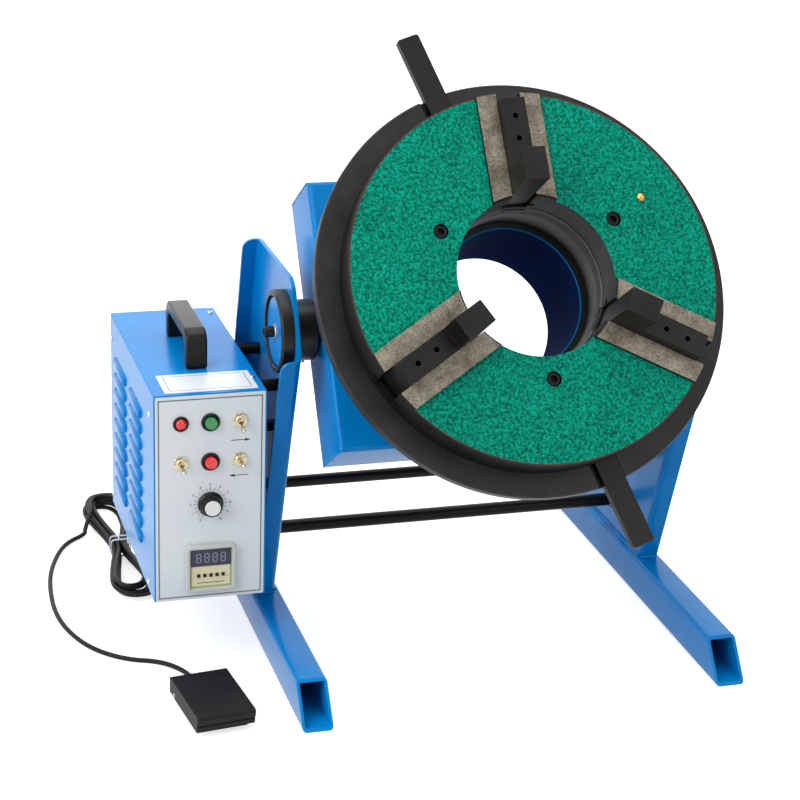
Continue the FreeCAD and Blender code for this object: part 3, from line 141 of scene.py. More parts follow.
def add_node(material, kind, inputs=None, **settings):
    """One node, with its settings, and its inputs given as values or as another node's output."""
    tree = material.node_tree
    node = tree.nodes.new(kind)
    for name, value in settings.items():
        setattr(node, name, value)
    for name, value in (inputs or {}).items():
        if isinstance(value, bpy.types.NodeSocket):
            tree.links.new(value, node.inputs[name])
        else:
            node.inputs[name].default_value = value
    return node


def new_material(name, **values):
    """A material whose Principled shader starts from the given socket values."""
    material = bpy.data.materials.new(name)
    material.use_nodes = True
    shader = material.node_tree.nodes["Principled BSDF"]
    for socket, value in values.items():
        shader.inputs[socket.replace("_", " ")].default_value = value
    return material, shader


def noise_of(material, size, detail=2.0, roughness=0.5):
    """Soft noise whose blobs are `size` millimetres across on the object itself."""
    where = add_node(material, "ShaderNodeTexCoord")
    return add_node(material, "ShaderNodeTexNoise",
                    {"Vector": where.outputs["Object"], "Scale": 1 / (size * MM), "Detail": detail,
                     "Roughness": roughness})


def ramp(material, factor, stops):
    """A colour ramp through (position, colour) stops."""
    node = add_node(material, "ShaderNodeValToRGB", {"Fac": factor})
    elements = node.color_ramp.elements
    elements[0].position, elements[0].color = stops[0]
    elements[1].position, elements[1].color = stops[1]
    for position, tint in stops[2:]:
        elements.new(position).color = tint
    return node


def roughen(material, shader, factor, low, high):
    """Roughness that wanders between two values."""
    spread = add_node(material, "ShaderNodeMapRange", {"Value": factor, "To Min": low, "To Max": high})
    material.node_tree.links.new(spread.outputs["Result"], shader.inputs["Roughness"])


def bump(material, shader, height, depth, strength):
    """Relief `depth` millimetres deep from a height between 0 and 1."""
    relief = add_node(material, "ShaderNodeBump",
                      {"Height": height, "Distance": depth * MM, "Strength": strength})
    material.node_tree.links.new(relief.outputs["Normal"], shader.inputs["Normal"])


# %% [markdown]
# ### Sprayed enamels
# Sheet steel sprayed with enamel.  Sprayed paint is never quite flat: a faint orange peel a few
# millimetres across breaks up its reflections, and a thin top film can add a second, sharper gloss.


# %% Enamels
def sprayed_enamel(name, hex_text, shade_text, roughness, coat, peel=0.02, shine=0.5):
    material, shader = new_material(name, IOR=1.5, Coat_Weight=coat, Coat_Roughness=0.04,
                                    Roughness=roughness, Specular_IOR_Level=shine)
    patches = noise_of(material, 60, detail=3)
    tint = ramp(material, patches.outputs["Fac"], [(0.3, colour(shade_text)), (0.7, colour(hex_text))])
    material.node_tree.links.new(tint.outputs["Color"], shader.inputs["Base Color"])
    peeling = noise_of(material, 3.5, detail=1)
    bump(material, shader, peeling.outputs["Fac"], peel, 0.5)
    roughen(material, shader, patches.outputs["Fac"], roughness - 0.04, roughness + 0.06)
    return material


BLUE_ENAMEL = sprayed_enamel("sky_blue_enamel", "#007ABF", "#006FB4", 0.22, 0.05, shine=0.08)
# Blue paint made dark for the spindle's bore: painted shade deep inside it.
BORE_BLUE_SHADE = sprayed_enamel("bore_blue_painted_shade", "#03275E", "#022152", 0.8, 0.0, shine=0.02)
BLACK_ENAMEL = sprayed_enamel("black_satin_enamel", "#060707", "#0A0A0B", 0.36, 0.0, shine=0.14)
RING_ENAMEL = sprayed_enamel("black_ring_enamel", "#0C0C0D", "#131314", 0.38, 0.0, shine=0.3)
WHITE_ENAMEL = sprayed_enamel("panel_white_enamel", "#CBD1D5", "#C4CBD0", 0.4, 0.1, peel=0.01)
GREY_PRINT, _ = new_material("panel_grey_print", Base_Color=colour("#5E686E"), Roughness=0.5)
BLACK_PRINT, _ = new_material("panel_black_print", Base_Color=colour("#17191B"), Roughness=0.5)

# %% [markdown]
# ### Hammered green enamel
# The chuck's cast face isn't machined between its lands, so its sand-cast skin shows through a thick
# green enamel as small dimples.  A fine noise a few millimetres across gives the dimples their relief and
# paints them darker in their hollows and paler on their rises, as painted shade and light; a coarser one lets
# the colour wander, and scattered dark spots are painted shade standing for pits.


# %% Hammered enamel on a casting
def hammered_casting():
    material, shader = new_material("hammered_green_enamel", IOR=1.5, Roughness=0.42, Specular_IOR_Level=0.05)
    dimples = noise_of(material, 2.7, detail=2, roughness=0.7)
    # The dimples' colour follows their height: painted shade in the hollows, painted light on the rises.
    tint = ramp(material, dimples.outputs["Fac"],
                [(0.36, colour("#003A2F")), (0.5, colour("#007862")), (0.64, colour("#06A287"))])
    patches = noise_of(material, 40, detail=3)
    wander = ramp(material, patches.outputs["Fac"], [(0.3, colour("#015C4B")), (0.72, colour("#028069"))])
    mixed = add_node(material, "ShaderNodeMix", {"Factor": 0.3, "A": tint.outputs["Color"],
                                                 "B": wander.outputs["Color"]}, data_type="RGBA")
    where = add_node(material, "ShaderNodeTexCoord")
    cells = add_node(material, "ShaderNodeTexVoronoi", {"Vector": where.outputs["Object"],
                                                        "Scale": 1 / (6.5 * MM)})
    # Dark spots at the cells' middles: painted shade standing for pits.
    pit_shade = ramp(material, cells.outputs["Distance"], [(0.1, (0, 0, 0, 1)), (0.22, (1, 1, 1, 1))])
    pitted = add_node(material, "ShaderNodeMix", {"Factor": pit_shade.outputs["Color"], "A": colour("#014A3C"),
                                                  "B": mixed.outputs["Result"]}, data_type="RGBA")
    material.node_tree.links.new(pitted.outputs["Result"], shader.inputs["Base Color"])
    bump(material, shader, dimples.outputs["Fac"], 0.9, 0.8)
    return material


GREEN_CASTING = hammered_casting()
WORN_EDGE = sprayed_enamel("worn_primer_edge", "#4A1F1B", "#361512", 0.5, 0.0, shine=0.3)

# %% [markdown]
# ### Bare and blackened steel
# The lands are milled cast iron: grey with a warm cast from handling oil, and fine cutter marks.  The
# scroll ring, lever bars and jaws are blackened with hot oil, which leaves a dark skin that still
# shines like metal.  A darker copy of it adds painted shade, and a paler copy is a painted highlight.


# %% Metals
def milled_iron():
    material, shader = new_material("milled_cast_iron", Metallic=0.7, Roughness=0.45)
    grain = noise_of(material, 1.7, detail=3, roughness=0.7)
    stains = noise_of(material, 16, detail=6, roughness=0.7)
    tint = ramp(material, stains.outputs["Fac"], [(0.3, colour("#5F584B")), (0.62, colour("#979080"))])
    speck = ramp(material, grain.outputs["Fac"], [(0.34, colour("#77716A")), (0.6, colour("#FFFFFF"))])
    mixed = add_node(material, "ShaderNodeMix", {"Factor": 0.7, "A": tint.outputs["Color"],
                                                 "B": speck.outputs["Color"]}, data_type="RGBA",
                     blend_type="MULTIPLY")
    material.node_tree.links.new(mixed.outputs["Result"], shader.inputs["Base Color"])
    roughen(material, shader, grain.outputs["Fac"], 0.36, 0.6)
    bump(material, shader, grain.outputs["Fac"], 0.06, 0.5)
    return material


def blackened_steel(name, dark, pale, roughness):
    material, shader = new_material(name, Metallic=0.3, Roughness=roughness, Specular_IOR_Level=0.3)
    patches = noise_of(material, 30, detail=5, roughness=0.6)
    tint = ramp(material, patches.outputs["Fac"], [(0.3, colour(dark)), (0.75, colour(pale))])
    material.node_tree.links.new(tint.outputs["Color"], shader.inputs["Base Color"])
    skin = noise_of(material, 1.6, detail=3)
    roughen(material, shader, patches.outputs["Fac"], roughness - 0.06, roughness + 0.1)
    bump(material, shader, skin.outputs["Fac"], 0.05, 0.4)
    return material


MILLED_IRON = milled_iron()
BLACK_STEEL = blackened_steel("oil_blackened_steel", "#191919", "#2B2B2A", 0.42)
# A darker copy of the blackened steel: blackened iron with painted shade on the chuck's bore, rim, slots and
# counterbores.
BLACK_IRON_WITH_SHADE = blackened_steel("blackened_iron_with_painted_shade", "#050506", "#0E0D0E", 0.5)
# A paler copy of the blackened steel: a painted highlight for the bore lip.
LIP_HIGHLIGHT_STEEL = blackened_steel("black_steel_painted_highlight", "#3C3B3B", "#5C5A57", 0.32)
JAW_STEEL = blackened_steel("blackened_jaw_steel", "#0C0C0B", "#1A1917", 0.42)


def plated(name, hex_text, roughness):
    material, shader = new_material(name, Base_Color=colour(hex_text), Metallic=1.0, Roughness=roughness)
    scuffs = noise_of(material, 2, detail=3)
    roughen(material, shader, scuffs.outputs["Fac"], roughness - 0.06, roughness + 0.1)
    return material


NICKEL = plated("nickelled_brass", "#BFB49A", 0.24)
BRASS = plated("machined_brass", "#C2A45A", 0.28)
ZINC = plated("zinc_plate", "#B9BCC0", 0.32)
GROUND_STEEL = plated("ground_steel", "#8F9296", 0.34)

# %% [markdown]
# ### Plastics and rubber
# The handle, knob, bezels and pedal are moulded: their mould was spark-eroded, which leaves a fine
# matt grain.  The button caps and lamp are glossy and slightly see-through, so they glow at the rim.


# %% Plastics and rubber
def moulded(name, hex_text, roughness, grain_size=0.9, depth=0.04):
    material, shader = new_material(name, Base_Color=colour(hex_text), IOR=1.5, Roughness=roughness,
                                    Specular_IOR_Level=0.22)
    grain = noise_of(material, grain_size, detail=2)
    bump(material, shader, grain.outputs["Fac"], depth, 0.6)
    roughen(material, shader, grain.outputs["Fac"], roughness - 0.05, roughness + 0.08)
    return material


BLACK_PLASTIC = moulded("moulded_black_plastic", "#101010", 0.45)
GLOSS_BLACK = moulded("glossy_black_plastic", "#0C0B0C", 0.3, 2.0, 0.01)
PEDAL_PLASTIC = moulded("grained_pedal_plastic", "#08080A", 0.55, 1.3, 0.08)
CORD_SHEATH = moulded("rubber_cord_sheath", "#070707", 0.5, 2.0, 0.03)
IVORY_PLASTIC = moulded("ivory_plastic", "#CFC8A8", 0.4)
PALE_CAP = moulded("pale_grey_plastic", "#D3D4D2", 0.3)
GREEN_BOARD = moulded("circuit_board", "#0E5A2C", 0.35)
PAPER_TIE = moulded("paper_wire_tie", "#AEB8C4", 0.6)


def dyed(name, hex_text):
    material, _ = new_material(name, Base_Color=colour(hex_text), IOR=1.49, Roughness=0.16, Coat_Weight=0.5,
                               Coat_Roughness=0.06, Subsurface_Weight=0.25, Subsurface_Scale=0.002)
    return material


RED_LENS = dyed("red_lens", "#D0121B")
RED_CAP = dyed("red_button_cap", "#D9141F")
GREEN_CAP = dyed("green_button_cap", "#0E7F3C")
FROSTED_BEZEL = moulded("frosted_clear_bezel", "#B4B9B6", 0.25)
LIME_PRINT = moulded("lime_printed_border", "#93A873", 0.4)
DISPLAY = moulded("slate_display", "#34354A", 0.18)
SEGMENT = moulded("pale_display_segment", "#8F90A0", 0.3)
print(len(bpy.data.materials), "materials")

# %% [markdown]
# ## Making a piece
# A piece starts as a bmesh in millimetres in one of the frames above.  `make_piece` moves it to its
# place, gives it its materials, softens its edges with a Bevel modifier whose normals are hardened, so
# that flat faces stay flat to the eye, and rides it on its body.


# %% Helpers for pieces
def mesh_from(bm, name):
    """Closes a bmesh's seams, turns its faces outward and hands it over as a mesh."""
    bmesh.ops.remove_doubles(bm, verts=bm.verts[:], dist=0.001)
    bmesh.ops.recalc_face_normals(bm, faces=bm.faces[:])
    mesh = bpy.data.meshes.new(name)
    bm.to_mesh(mesh)
    bm.free()
    return mesh


def make_piece(name, bm, place, body, materials, replaces=(), bevel=0.0, segments=2, paint=None,
               cutters=(), within=None, solid=0.0, shape=None):
    """Turns a bmesh into a finished piece that rides on a body."""
    mesh = mesh_from(bm, name)
    piece = add_object(name, mesh)
    for material in materials:
        mesh.materials.append(material)
    if solid:
        wall = piece.modifiers.new("sheet", "SOLIDIFY")
        wall.thickness, wall.offset, wall.use_even_offset = solid, -1, True
        bake_modifiers(piece)
    if cutters or within:
        carve(piece, cutters, within)
    if shape:
        shape(piece)
    if paint:
        for face in piece.data.polygons:
            face.material_index = paint(face)
    piece.data.transform(place)
    piece.data.shade_smooth()
    piece.data.set_sharp_from_angle(angle=math.radians(32))
    if bevel:
        edge = piece.modifiers.new("soft_edges", "BEVEL")
        edge.width, edge.segments, edge.profile = bevel * MM, segments, 0.5
        edge.limit_method, edge.angle_limit, edge.harden_normals = "ANGLE", math.radians(35), True
    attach(piece, body)
    if replaces:
        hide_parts(*replaces)
    return piece


def bake_modifiers(piece):
    """Applies a piece's modifiers to its mesh."""
    bpy.context.view_layer.update()
    graph = bpy.context.evaluated_depsgraph_get()
    mesh = bpy.data.meshes.new_from_object(piece.evaluated_get(graph))
    piece.modifiers.clear()
    piece.data = mesh


def carve(piece, cutters, within=None):
    """Cuts shapes out of a piece, as a mill or a drill does, and keeps only what lies within one shape."""
    made = []
    tools = [(bm, "DIFFERENCE") for bm in cutters]
    if within:
        tools.append((within, "INTERSECT"))
    for number, (bm, operation) in enumerate(tools):
        name = "cutter_%d" % number
        cutter = add_object(name, mesh_from(bm, name))
        cut = piece.modifiers.new("cut", "BOOLEAN")
        cut.object, cut.operation, cut.solver = cutter, operation, "EXACT"
        made.append(cutter)
    bake_modifiers(piece)
    for cutter in made:
        bpy.data.objects.remove(cutter)


def lathe(profile, steps=96, bm=None, matrix=None):
    """A turned shape from (radius, height) points, closed round its own outline."""
    bm = bm or bmesh.new()
    old_verts = set(bm.verts)
    ring = [bm.verts.new((radius, 0, height)) for radius, height in profile]
    edges = [bm.edges.new(pair) for pair in zip(ring, ring[1:])]
    if profile[0][0] > 0 or profile[-1][0] > 0:
        edges.append(bm.edges.new((ring[-1], ring[0])))
    bmesh.ops.spin(bm, geom=ring + edges, axis=(0, 0, 1), cent=(0, 0, 0), steps=steps,
                   angle=math.radians(360), use_merge=True, use_duplicate=False)
    if matrix:
        bmesh.ops.transform(bm, matrix=matrix, verts=[vert for vert in bm.verts if vert not in old_verts])
    return bm


def prism(outline, low, high, bm=None, matrix=None, round_at=(), radius=0.0, steps=5):
    """An outline in X and Y drawn up from one height to another; chosen corners can be rounded."""
    bm = bm or bmesh.new()
    old_verts, old_faces = set(bm.verts), set(bm.faces)
    verts = [bm.verts.new((x, y, low)) for x, y in outline]
    bm.faces.new(verts)
    if round_at:
        bmesh.ops.bevel(bm, geom=[verts[index] for index in round_at], offset=radius, segments=steps,
                        profile=0.5, affect="VERTICES", material=-1)
    flat = [face for face in bm.faces if face not in old_faces]
    raised = bmesh.ops.extrude_face_region(bm, geom=flat, use_keep_orig=True)["geom"]
    top = [item for item in raised if isinstance(item, bmesh.types.BMVert)]
    bmesh.ops.translate(bm, verts=top, vec=(0, 0, high - low))
    if matrix:
        bmesh.ops.transform(bm, matrix=matrix, verts=[vert for vert in bm.verts if vert not in old_verts])
    return bm


def block(x, y, z, bm=None, matrix=None):
    """A box between pairs of coordinates."""
    bm = bm or bmesh.new()
    size = Vector((x[1] - x[0], y[1] - y[0], z[1] - z[0]))
    middle = Vector((x[0] + x[1], y[0] + y[1], z[0] + z[1])) / 2
    whole = shift(*middle) @ Matrix.Diagonal((*size, 1))
    bmesh.ops.create_cube(bm, size=1, matrix=(matrix or Matrix()) @ whole)
    return bm


def drill(x, y, radius, low, high, steps=32, bm=None, matrix=None):
    """A round bar or a drill's cut along local Z."""
    bm = bm or bmesh.new()
    place = (matrix or Matrix()) @ shift(x, y, (low + high) / 2)
    bmesh.ops.create_cone(bm, cap_ends=True, cap_tris=False, segments=steps, radius1=radius,
                          radius2=radius, depth=high - low, matrix=place)
    return bm


def rounded(wide, high, radius, low, top, bm=None, matrix=None, steps=5, centre=(0, 0)):
    """A block with rounded upright corners, `wide` by `high` about a centre, from `low` to `top`."""
    x, y = wide / 2, high / 2
    a, b = centre
    corners = [(a - x, b - y), (a + x, b - y), (a + x, b + y), (a - x, b + y)]
    return prism(corners, low, top, bm, matrix, (0, 1, 2, 3), radius, steps)


def axle(side):
    """Within FRAME, a local Z that points outwards along the tilt axis on one side."""
    return shift(0, 0, TILT_Z) @ turn_y(90 * side)


EDGEWISE = turn_x(90)
SIDEWISE = Matrix(((0, 0, 1, 0), (1, 0, 0, 0), (0, 1, 0, 0), (0, 0, 0, 1)))


# %% [markdown]
# ## Studio
# A pale floor catches a soft shadow, and big soft lamps stand left, above, behind and in front, as in
# a product studio.  Floor and backdrop are white to the camera and in reflections, and light the
# object a little less than that.

# %% Floor, lamps and backdrop
FLOOR_FINISH, floor_shader = new_material("studio_floor", Base_Color=colour("#CFCFCF"), Roughness=0.8,
                                           Specular_IOR_Level=0.1, Emission_Color=(1, 1, 1, 1))
seen_by = add_node(FLOOR_FINISH, "ShaderNodeLightPath")
glossy = add_node(FLOOR_FINISH, "ShaderNodeMath", {0: seen_by.outputs["Is Camera Ray"],
                                                   1: seen_by.outputs["Is Glossy Ray"]}, operation="MAXIMUM")
any_view = add_node(FLOOR_FINISH, "ShaderNodeMath", {0: glossy.outputs["Value"],
                                                     1: seen_by.outputs["Is Transmission Ray"]},
                    operation="MAXIMUM")
lift = add_node(FLOOR_FINISH, "ShaderNodeMath", {0: any_view.outputs["Value"], 1: 0.66},
                operation="MULTIPLY")
FLOOR_FINISH.node_tree.links.new(lift.outputs["Value"], floor_shader.inputs["Emission Strength"])
floor_mesh = bpy.data.meshes.new("studio_floor")
floor_bm = bmesh.new()
bmesh.ops.create_grid(floor_bm, x_segments=1, y_segments=1, size=30)
floor_bm.to_mesh(floor_mesh)
floor_bm.free()
floor_mesh.materials.append(FLOOR_FINISH)
floor = add_object("studio_floor", floor_mesh)


def softbox(name, place, aim, wide, high, power):
    """A rectangular lamp at a place in metres, turned to its aim."""
    data = bpy.data.lights.new(name, "AREA")
    data.shape, data.size, data.size_y = "RECTANGLE", wide, high
    data.energy = power
    lamp = add_object(name, data)
    lamp.location = place
    lamp.rotation_euler = (Vector(aim) - Vector(place)).to_track_quat("-Z", "Y").to_euler()


softbox("left_softbox", (-2.2, -0.9, 1.5), (0, 0, 0.3), 1.8, 1.8, 48)
softbox("top_softbox", (-0.2, 0.2, 2.6), (0, 0, 0.2), 2.4, 2.2, 46)
softbox("back_softbox", (0.3, 3.0, 1.7), (0, 0, 0.4), 4.0, 2.4, 34)
softbox("front_fill", (1.3, -2.6, 1.6), (0, 0, 0.3), 1.6, 1.4, 12)

world = bpy.data.worlds.new("studio_backdrop")
world.use_nodes = True
bpy.context.scene.world = world
tree = world.node_tree
lighting = tree.nodes["Background"]
lighting.inputs["Color"].default_value = colour("#FFFFFF")
lighting.inputs["Strength"].default_value = 0.6
seen = tree.nodes.new("ShaderNodeBackground")
seen.inputs["Color"].default_value = (1, 1, 1, 1)
seen.inputs["Strength"].default_value = 1.0
path = tree.nodes.new("ShaderNodeLightPath")
choose = tree.nodes.new("ShaderNodeMixShader")
look = path.outputs["Is Camera Ray"]
for other in ("Is Glossy Ray", "Is Transmission Ray"):
    either = tree.nodes.new("ShaderNodeMath")
    either.operation = "MAXIMUM"
    tree.links.new(look, either.inputs[0])
    tree.links.new(path.outputs[other], either.inputs[1])
    look = either.outputs["Value"]
tree.links.new(look, choose.inputs["Fac"])
tree.links.new(lighting.outputs["Background"], choose.inputs[1])
tree.links.new(seen.outputs["Background"], choose.inputs[2])
tree.links.new(choose.outputs["Shader"], tree.nodes["World Output"].inputs["Surface"])
bpy.context.scene.view_settings.view_transform = "Standard"

# %% [markdown]
# ## Feet
# Each foot is a length of rectangular tube, sawn at a slant and left open at both ends.  The tube is a
# rounded outline with a smaller one cut through it, and shearing its end points makes the slant cuts.

# %% Feet
FOOT_AT, FOOT_WIDE, FOOT_HIGH, FOOT_WALL = 210, 30, 40, 3
FOOT_FRONT, FOOT_REAR, FOOT_MITRE, ANCHOR_IN = -177, 300, 32, 62


def slant_ends(piece):
    """Leans the sawn ends back over the tube's height."""
    for vert in piece.data.vertices:
        if vert.co.y < FOOT_FRONT + 1:
            vert.co.y += FOOT_MITRE * vert.co.z / FOOT_HIGH
        elif vert.co.y > FOOT_REAR - 1:
            vert.co.y -= FOOT_MITRE * vert.co.z / FOOT_HIGH


def foot(side, name):
    tube = rounded(FOOT_WIDE, FOOT_HIGH, 4, -FOOT_REAR, -FOOT_FRONT, matrix=EDGEWISE,
                   centre=(side * FOOT_AT, FOOT_HIGH / 2))
    inner = rounded(FOOT_WIDE - 2 * FOOT_WALL, FOOT_HIGH - 2 * FOOT_WALL, 1.5, -FOOT_REAR - 5,
                    -FOOT_FRONT + 5, matrix=EDGEWISE, centre=(side * FOOT_AT, FOOT_HIGH / 2))
    holes = [drill(side * FOOT_AT, y, 4.5, -1, FOOT_WALL - 0.4)
             for y in (FOOT_FRONT + ANCHOR_IN, FOOT_REAR - ANCHOR_IN)]
    return make_piece(name + "_foot_tube", tube, FRAME, "frame", [BLUE_ENAMEL],
                      [name + "_foot"], bevel=0.35, cutters=[inner] + holes, shape=slant_ends)


# %% [markdown]
# ## Uprights
# An upright is one sheet folded into a channel with two leaning flanges.  Its section, with both bends, is
# drawn up and leant over; the silhouette of the flat blank then trims its top, and two cutters take
# each flange off above its end and round its tip.

# %% Uprights
WEB_AT, WEB_THICK, FLANGE_TIP, BEND_R, TIP_R = 201, 4, 220.5, 6, 11
BASE_FRONT, BASE_BACK, LEAN_FRONT, LEAN_BACK = 45, 228, 0.34, 0.29
FLANGE_TOP, UPRIGHT_TOP, TOP_FRONT, CORNER_R = 322, 393, -19, 13
QUARTER = [math.radians(15 * step) for step in range(7)]


def front_at(z):
    return BASE_FRONT - LEAN_FRONT * (z - FOOT_HIGH)


def back_at(z):
    return BASE_BACK - LEAN_BACK * (z - FOOT_HIGH)


def fold():
    """One bend and its flange, as (x, distance in from the flange's outer face)."""
    small = BEND_R - WEB_THICK
    centre = WEB_AT + BEND_R
    outside = [(centre - BEND_R * math.cos(turn), BEND_R - BEND_R * math.sin(turn)) for turn in QUARTER]
    inside = [(centre - small * math.cos(turn), BEND_R - small * math.sin(turn)) for turn in QUARTER]
    return outside + [(FLANGE_TIP, 0), (FLANGE_TIP, WEB_THICK)] + inside[::-1]


def tip_cutter(top, low_y, high_y, flip):
    """Takes a flange off above its top, and rounds its tip."""
    middle_x, middle_z, clear = FLANGE_TIP - TIP_R, top - TIP_R, UPRIGHT_TOP + 40
    arc = [(middle_x + TIP_R * math.sin(turn), middle_z + TIP_R * math.cos(turn)) for turn in QUARTER]
    outline = [(WEB_AT + WEB_THICK, top), *arc, (FLANGE_TIP + 5, middle_z), (FLANGE_TIP + 5, clear),
               (WEB_AT + WEB_THICK, clear)]
    return prism(outline, -high_y, -low_y, matrix=flip @ EDGEWISE)


def upright(side, name):
    flip = Matrix.Diagonal((side, 1, 1, 1))
    outline = [(x, BASE_FRONT + inward) for x, inward in fold()]
    outline += [(x, BASE_BACK - inward) for x, inward in reversed(fold())]
    channel = prism(outline, FOOT_HIGH, UPRIGHT_TOP + 5)
    for vert in channel.verts:
        lean = LEAN_FRONT if vert.co.y < (BASE_FRONT + BASE_BACK) / 2 else LEAN_BACK
        vert.co.y -= lean * (vert.co.z - FOOT_HIGH)
    bmesh.ops.transform(channel, matrix=flip, verts=channel.verts)
    below = FOOT_HIGH - 10
    blank = [(-250, below), (-250, FLANGE_TOP), (front_at(FLANGE_TOP), FLANGE_TOP), (TOP_FRONT, UPRIGHT_TOP),
             (back_at(UPRIGHT_TOP) + 20, UPRIGHT_TOP), (back_at(below) + 20, below)]
    silhouette = prism(blank, WEB_AT - 5, FLANGE_TIP + 5, matrix=flip @ SIDEWISE, round_at=(3,),
                       radius=CORNER_R, steps=8)
    tips = [tip_cutter(FLANGE_TOP, -150, -5, flip), tip_cutter(UPRIGHT_TOP, 90, 260, flip)]
    return make_piece(name + "_upright_channel", channel, FRAME, "frame", [BLUE_ENAMEL],
                      [name + "_upright"], bevel=0.35, cutters=tips, within=silhouette)


def weld_bead(points, radius, name):
    """A row of small ripples along straight runs, as a wire-fed weld leaves them."""
    bm = bmesh.new()
    for start, end in zip(points, points[1:]):
        start, end = Vector(start), Vector(end)
        run = end - start
        turn = run.to_track_quat("Z", "Y").to_matrix().to_4x4()
        steps = max(2, int(run.length / 1.3))
        ring = bmesh.ops.create_circle(bm, segments=8, radius=radius, matrix=Matrix.Translation(start) @ turn)
        edges = list({edge for vert in ring["verts"] for edge in vert.link_edges})
        for step in range(steps):
            made = bmesh.ops.extrude_edge_only(bm, edges=edges)["geom"]
            verts = [item for item in made if isinstance(item, bmesh.types.BMVert)]
            edges = [item for item in made if isinstance(item, bmesh.types.BMEdge)]
            bmesh.ops.translate(bm, verts=verts, vec=run / steps)
            middle = start + run * (step + 1) / steps
            swell = (1.12, 0.92)[step % 2] * (1 + 0.12 * noise.noise(middle * 0.21))
            bmesh.ops.scale(bm, verts=verts, vec=(swell / (1.12, 0.92)[(step + 1) % 2],) * 3 if step else
                            (swell,) * 3, space=Matrix.Translation(-middle))
        bmesh.ops.holes_fill(bm, edges=[edge for edge in bm.edges if edge.is_boundary], sides=8)
    make_piece(name, bm, FRAME, "frame", [BLUE_ENAMEL])


for side, name in ((-1, "left"), (1, "right")):
    foot(side, name)
    upright(side, name)
    front, toe = BASE_FRONT - 0.5, side * (WEB_AT + WEB_THICK + 0.5)
    runs = {"front": ((side * (FLANGE_TIP - 1), front), (side * (WEB_AT + 1), front)),
            "inner": ((side * (WEB_AT - 0.3), BASE_FRONT + 4), (side * (WEB_AT - 0.3), BASE_BACK - 4)),
            "outer": ((toe, BASE_FRONT + 6), (toe, BASE_BACK - 6))}
    for place, ends in runs.items():
        weld_bead([(x, y, FOOT_HIGH + 0.3) for x, y in ends], 1.7, "%s_%s_weld" % (name, place))

# %% [markdown]
# ## Bars
# Plain drawn bar in black satin enamel, with its sawn ends broken by a small chamfer.  A stubby weld
# collar sits where a bar meets a leg.

# %% Bars
def bars(name, replaces, ends, radius, chamfer=0.8):
    """Round bars along X, each from (y, z, low, high)."""
    bm = bmesh.new()
    for y, z, low, high in ends:
        across_x = shift(0, y, z) @ turn_y(90)
        lathe([(0, low), (radius - chamfer, low), (radius, low + chamfer), (radius, high - chamfer),
               (radius - chamfer, high), (0, high)], 40, bm, across_x)
    make_piece(name, bm, FRAME, "frame", [BLACK_ENAMEL], replaces)


UPPER_Y, UPPER_Z, LOWER_Y, LOWER_Z = 70, 150, 135, 71
bars("upper_bar", ["upper_crossbar"], [(UPPER_Y, UPPER_Z, BOX_SIDE, WEB_AT)], 6)
bars("lower_bar", ["lower_crossbar"], [(LOWER_Y, LOWER_Z, -WEB_AT, WEB_AT)], 7)
bars("box_rods", ["box_hanger_rods"],
     [(y, z, BOX_SIDE, -WEB_AT - WEB_THICK) for y, z in ((4, 281.3), (113, 281.3), (45, 223.3))], 6)
collars = bmesh.new()
for y, z, radius in ((UPPER_Y, UPPER_Z, 6), (LOWER_Y, LOWER_Z, 7)):
    for x in (-WEB_AT, WEB_AT):
        out = math.copysign(1, -x)
        lathe([(radius - 0.4, 0), (radius + 3, 0), (radius + 2.3, 1.4 * out), (radius + 0.9, 2.7 * out),
               (radius - 0.4, 3.2 * out)], 40, collars,
              shift(x, y, z) @ turn_y(90))
make_piece("bar_welds", collars, FRAME, "frame", [BLUE_ENAMEL])

# %% [markdown]
# ## The tilt axis
# A turned bearing stands between each web and the housing, with its set screw underneath.  Outside the
# web, a black lock ring surrounds a blue disc, and a black socket screw on a bright washer clamps it.

# %% Tilt bearings, lock rings and discs
PAN_HALF, BOSS_R, JOURNAL_R, RING_R, DISC_R = 176, 29.5, 15, 40, 33.5
start, middle = PAN_HALF + 1.6, (PAN_HALF + 1.6 + WEB_AT) / 2
for side, name in ((-1, "left"), (1, "right")):
    boss = lathe([(JOURNAL_R + 0.3, start), (BOSS_R - 3, start), (BOSS_R, start + 3), (BOSS_R, WEB_AT),
                  (JOURNAL_R + 0.3, WEB_AT)], 72, matrix=axle(side))
    screw_hole = drill(side * middle, 0, 3.3, TILT_Z - BOSS_R - 2, TILT_Z - BOSS_R + 9)
    make_piece(name + "_tilt_bearing", boss, FRAME, "frame", [RING_ENAMEL],
               [name + "_bearing"], bevel=0.3, cutters=[screw_hole])
set_screws, socket_cuts = bmesh.new(), []
for side in (-1, 1):
    lathe([(0, 304), (2.2, 304), (3, 304.8), (3, 315), (0, 315)], 32, set_screws,
          shift(side * middle, 0, 0))
make_piece("set_screw_tips", set_screws, FRAME, "frame", [ZINC], ["bearing_set_screws"])
rings, discs, screws, washers, journals = (bmesh.new() for _ in range(5))
face, seat = WEB_AT + WEB_THICK, WEB_AT + WEB_THICK + 10.5
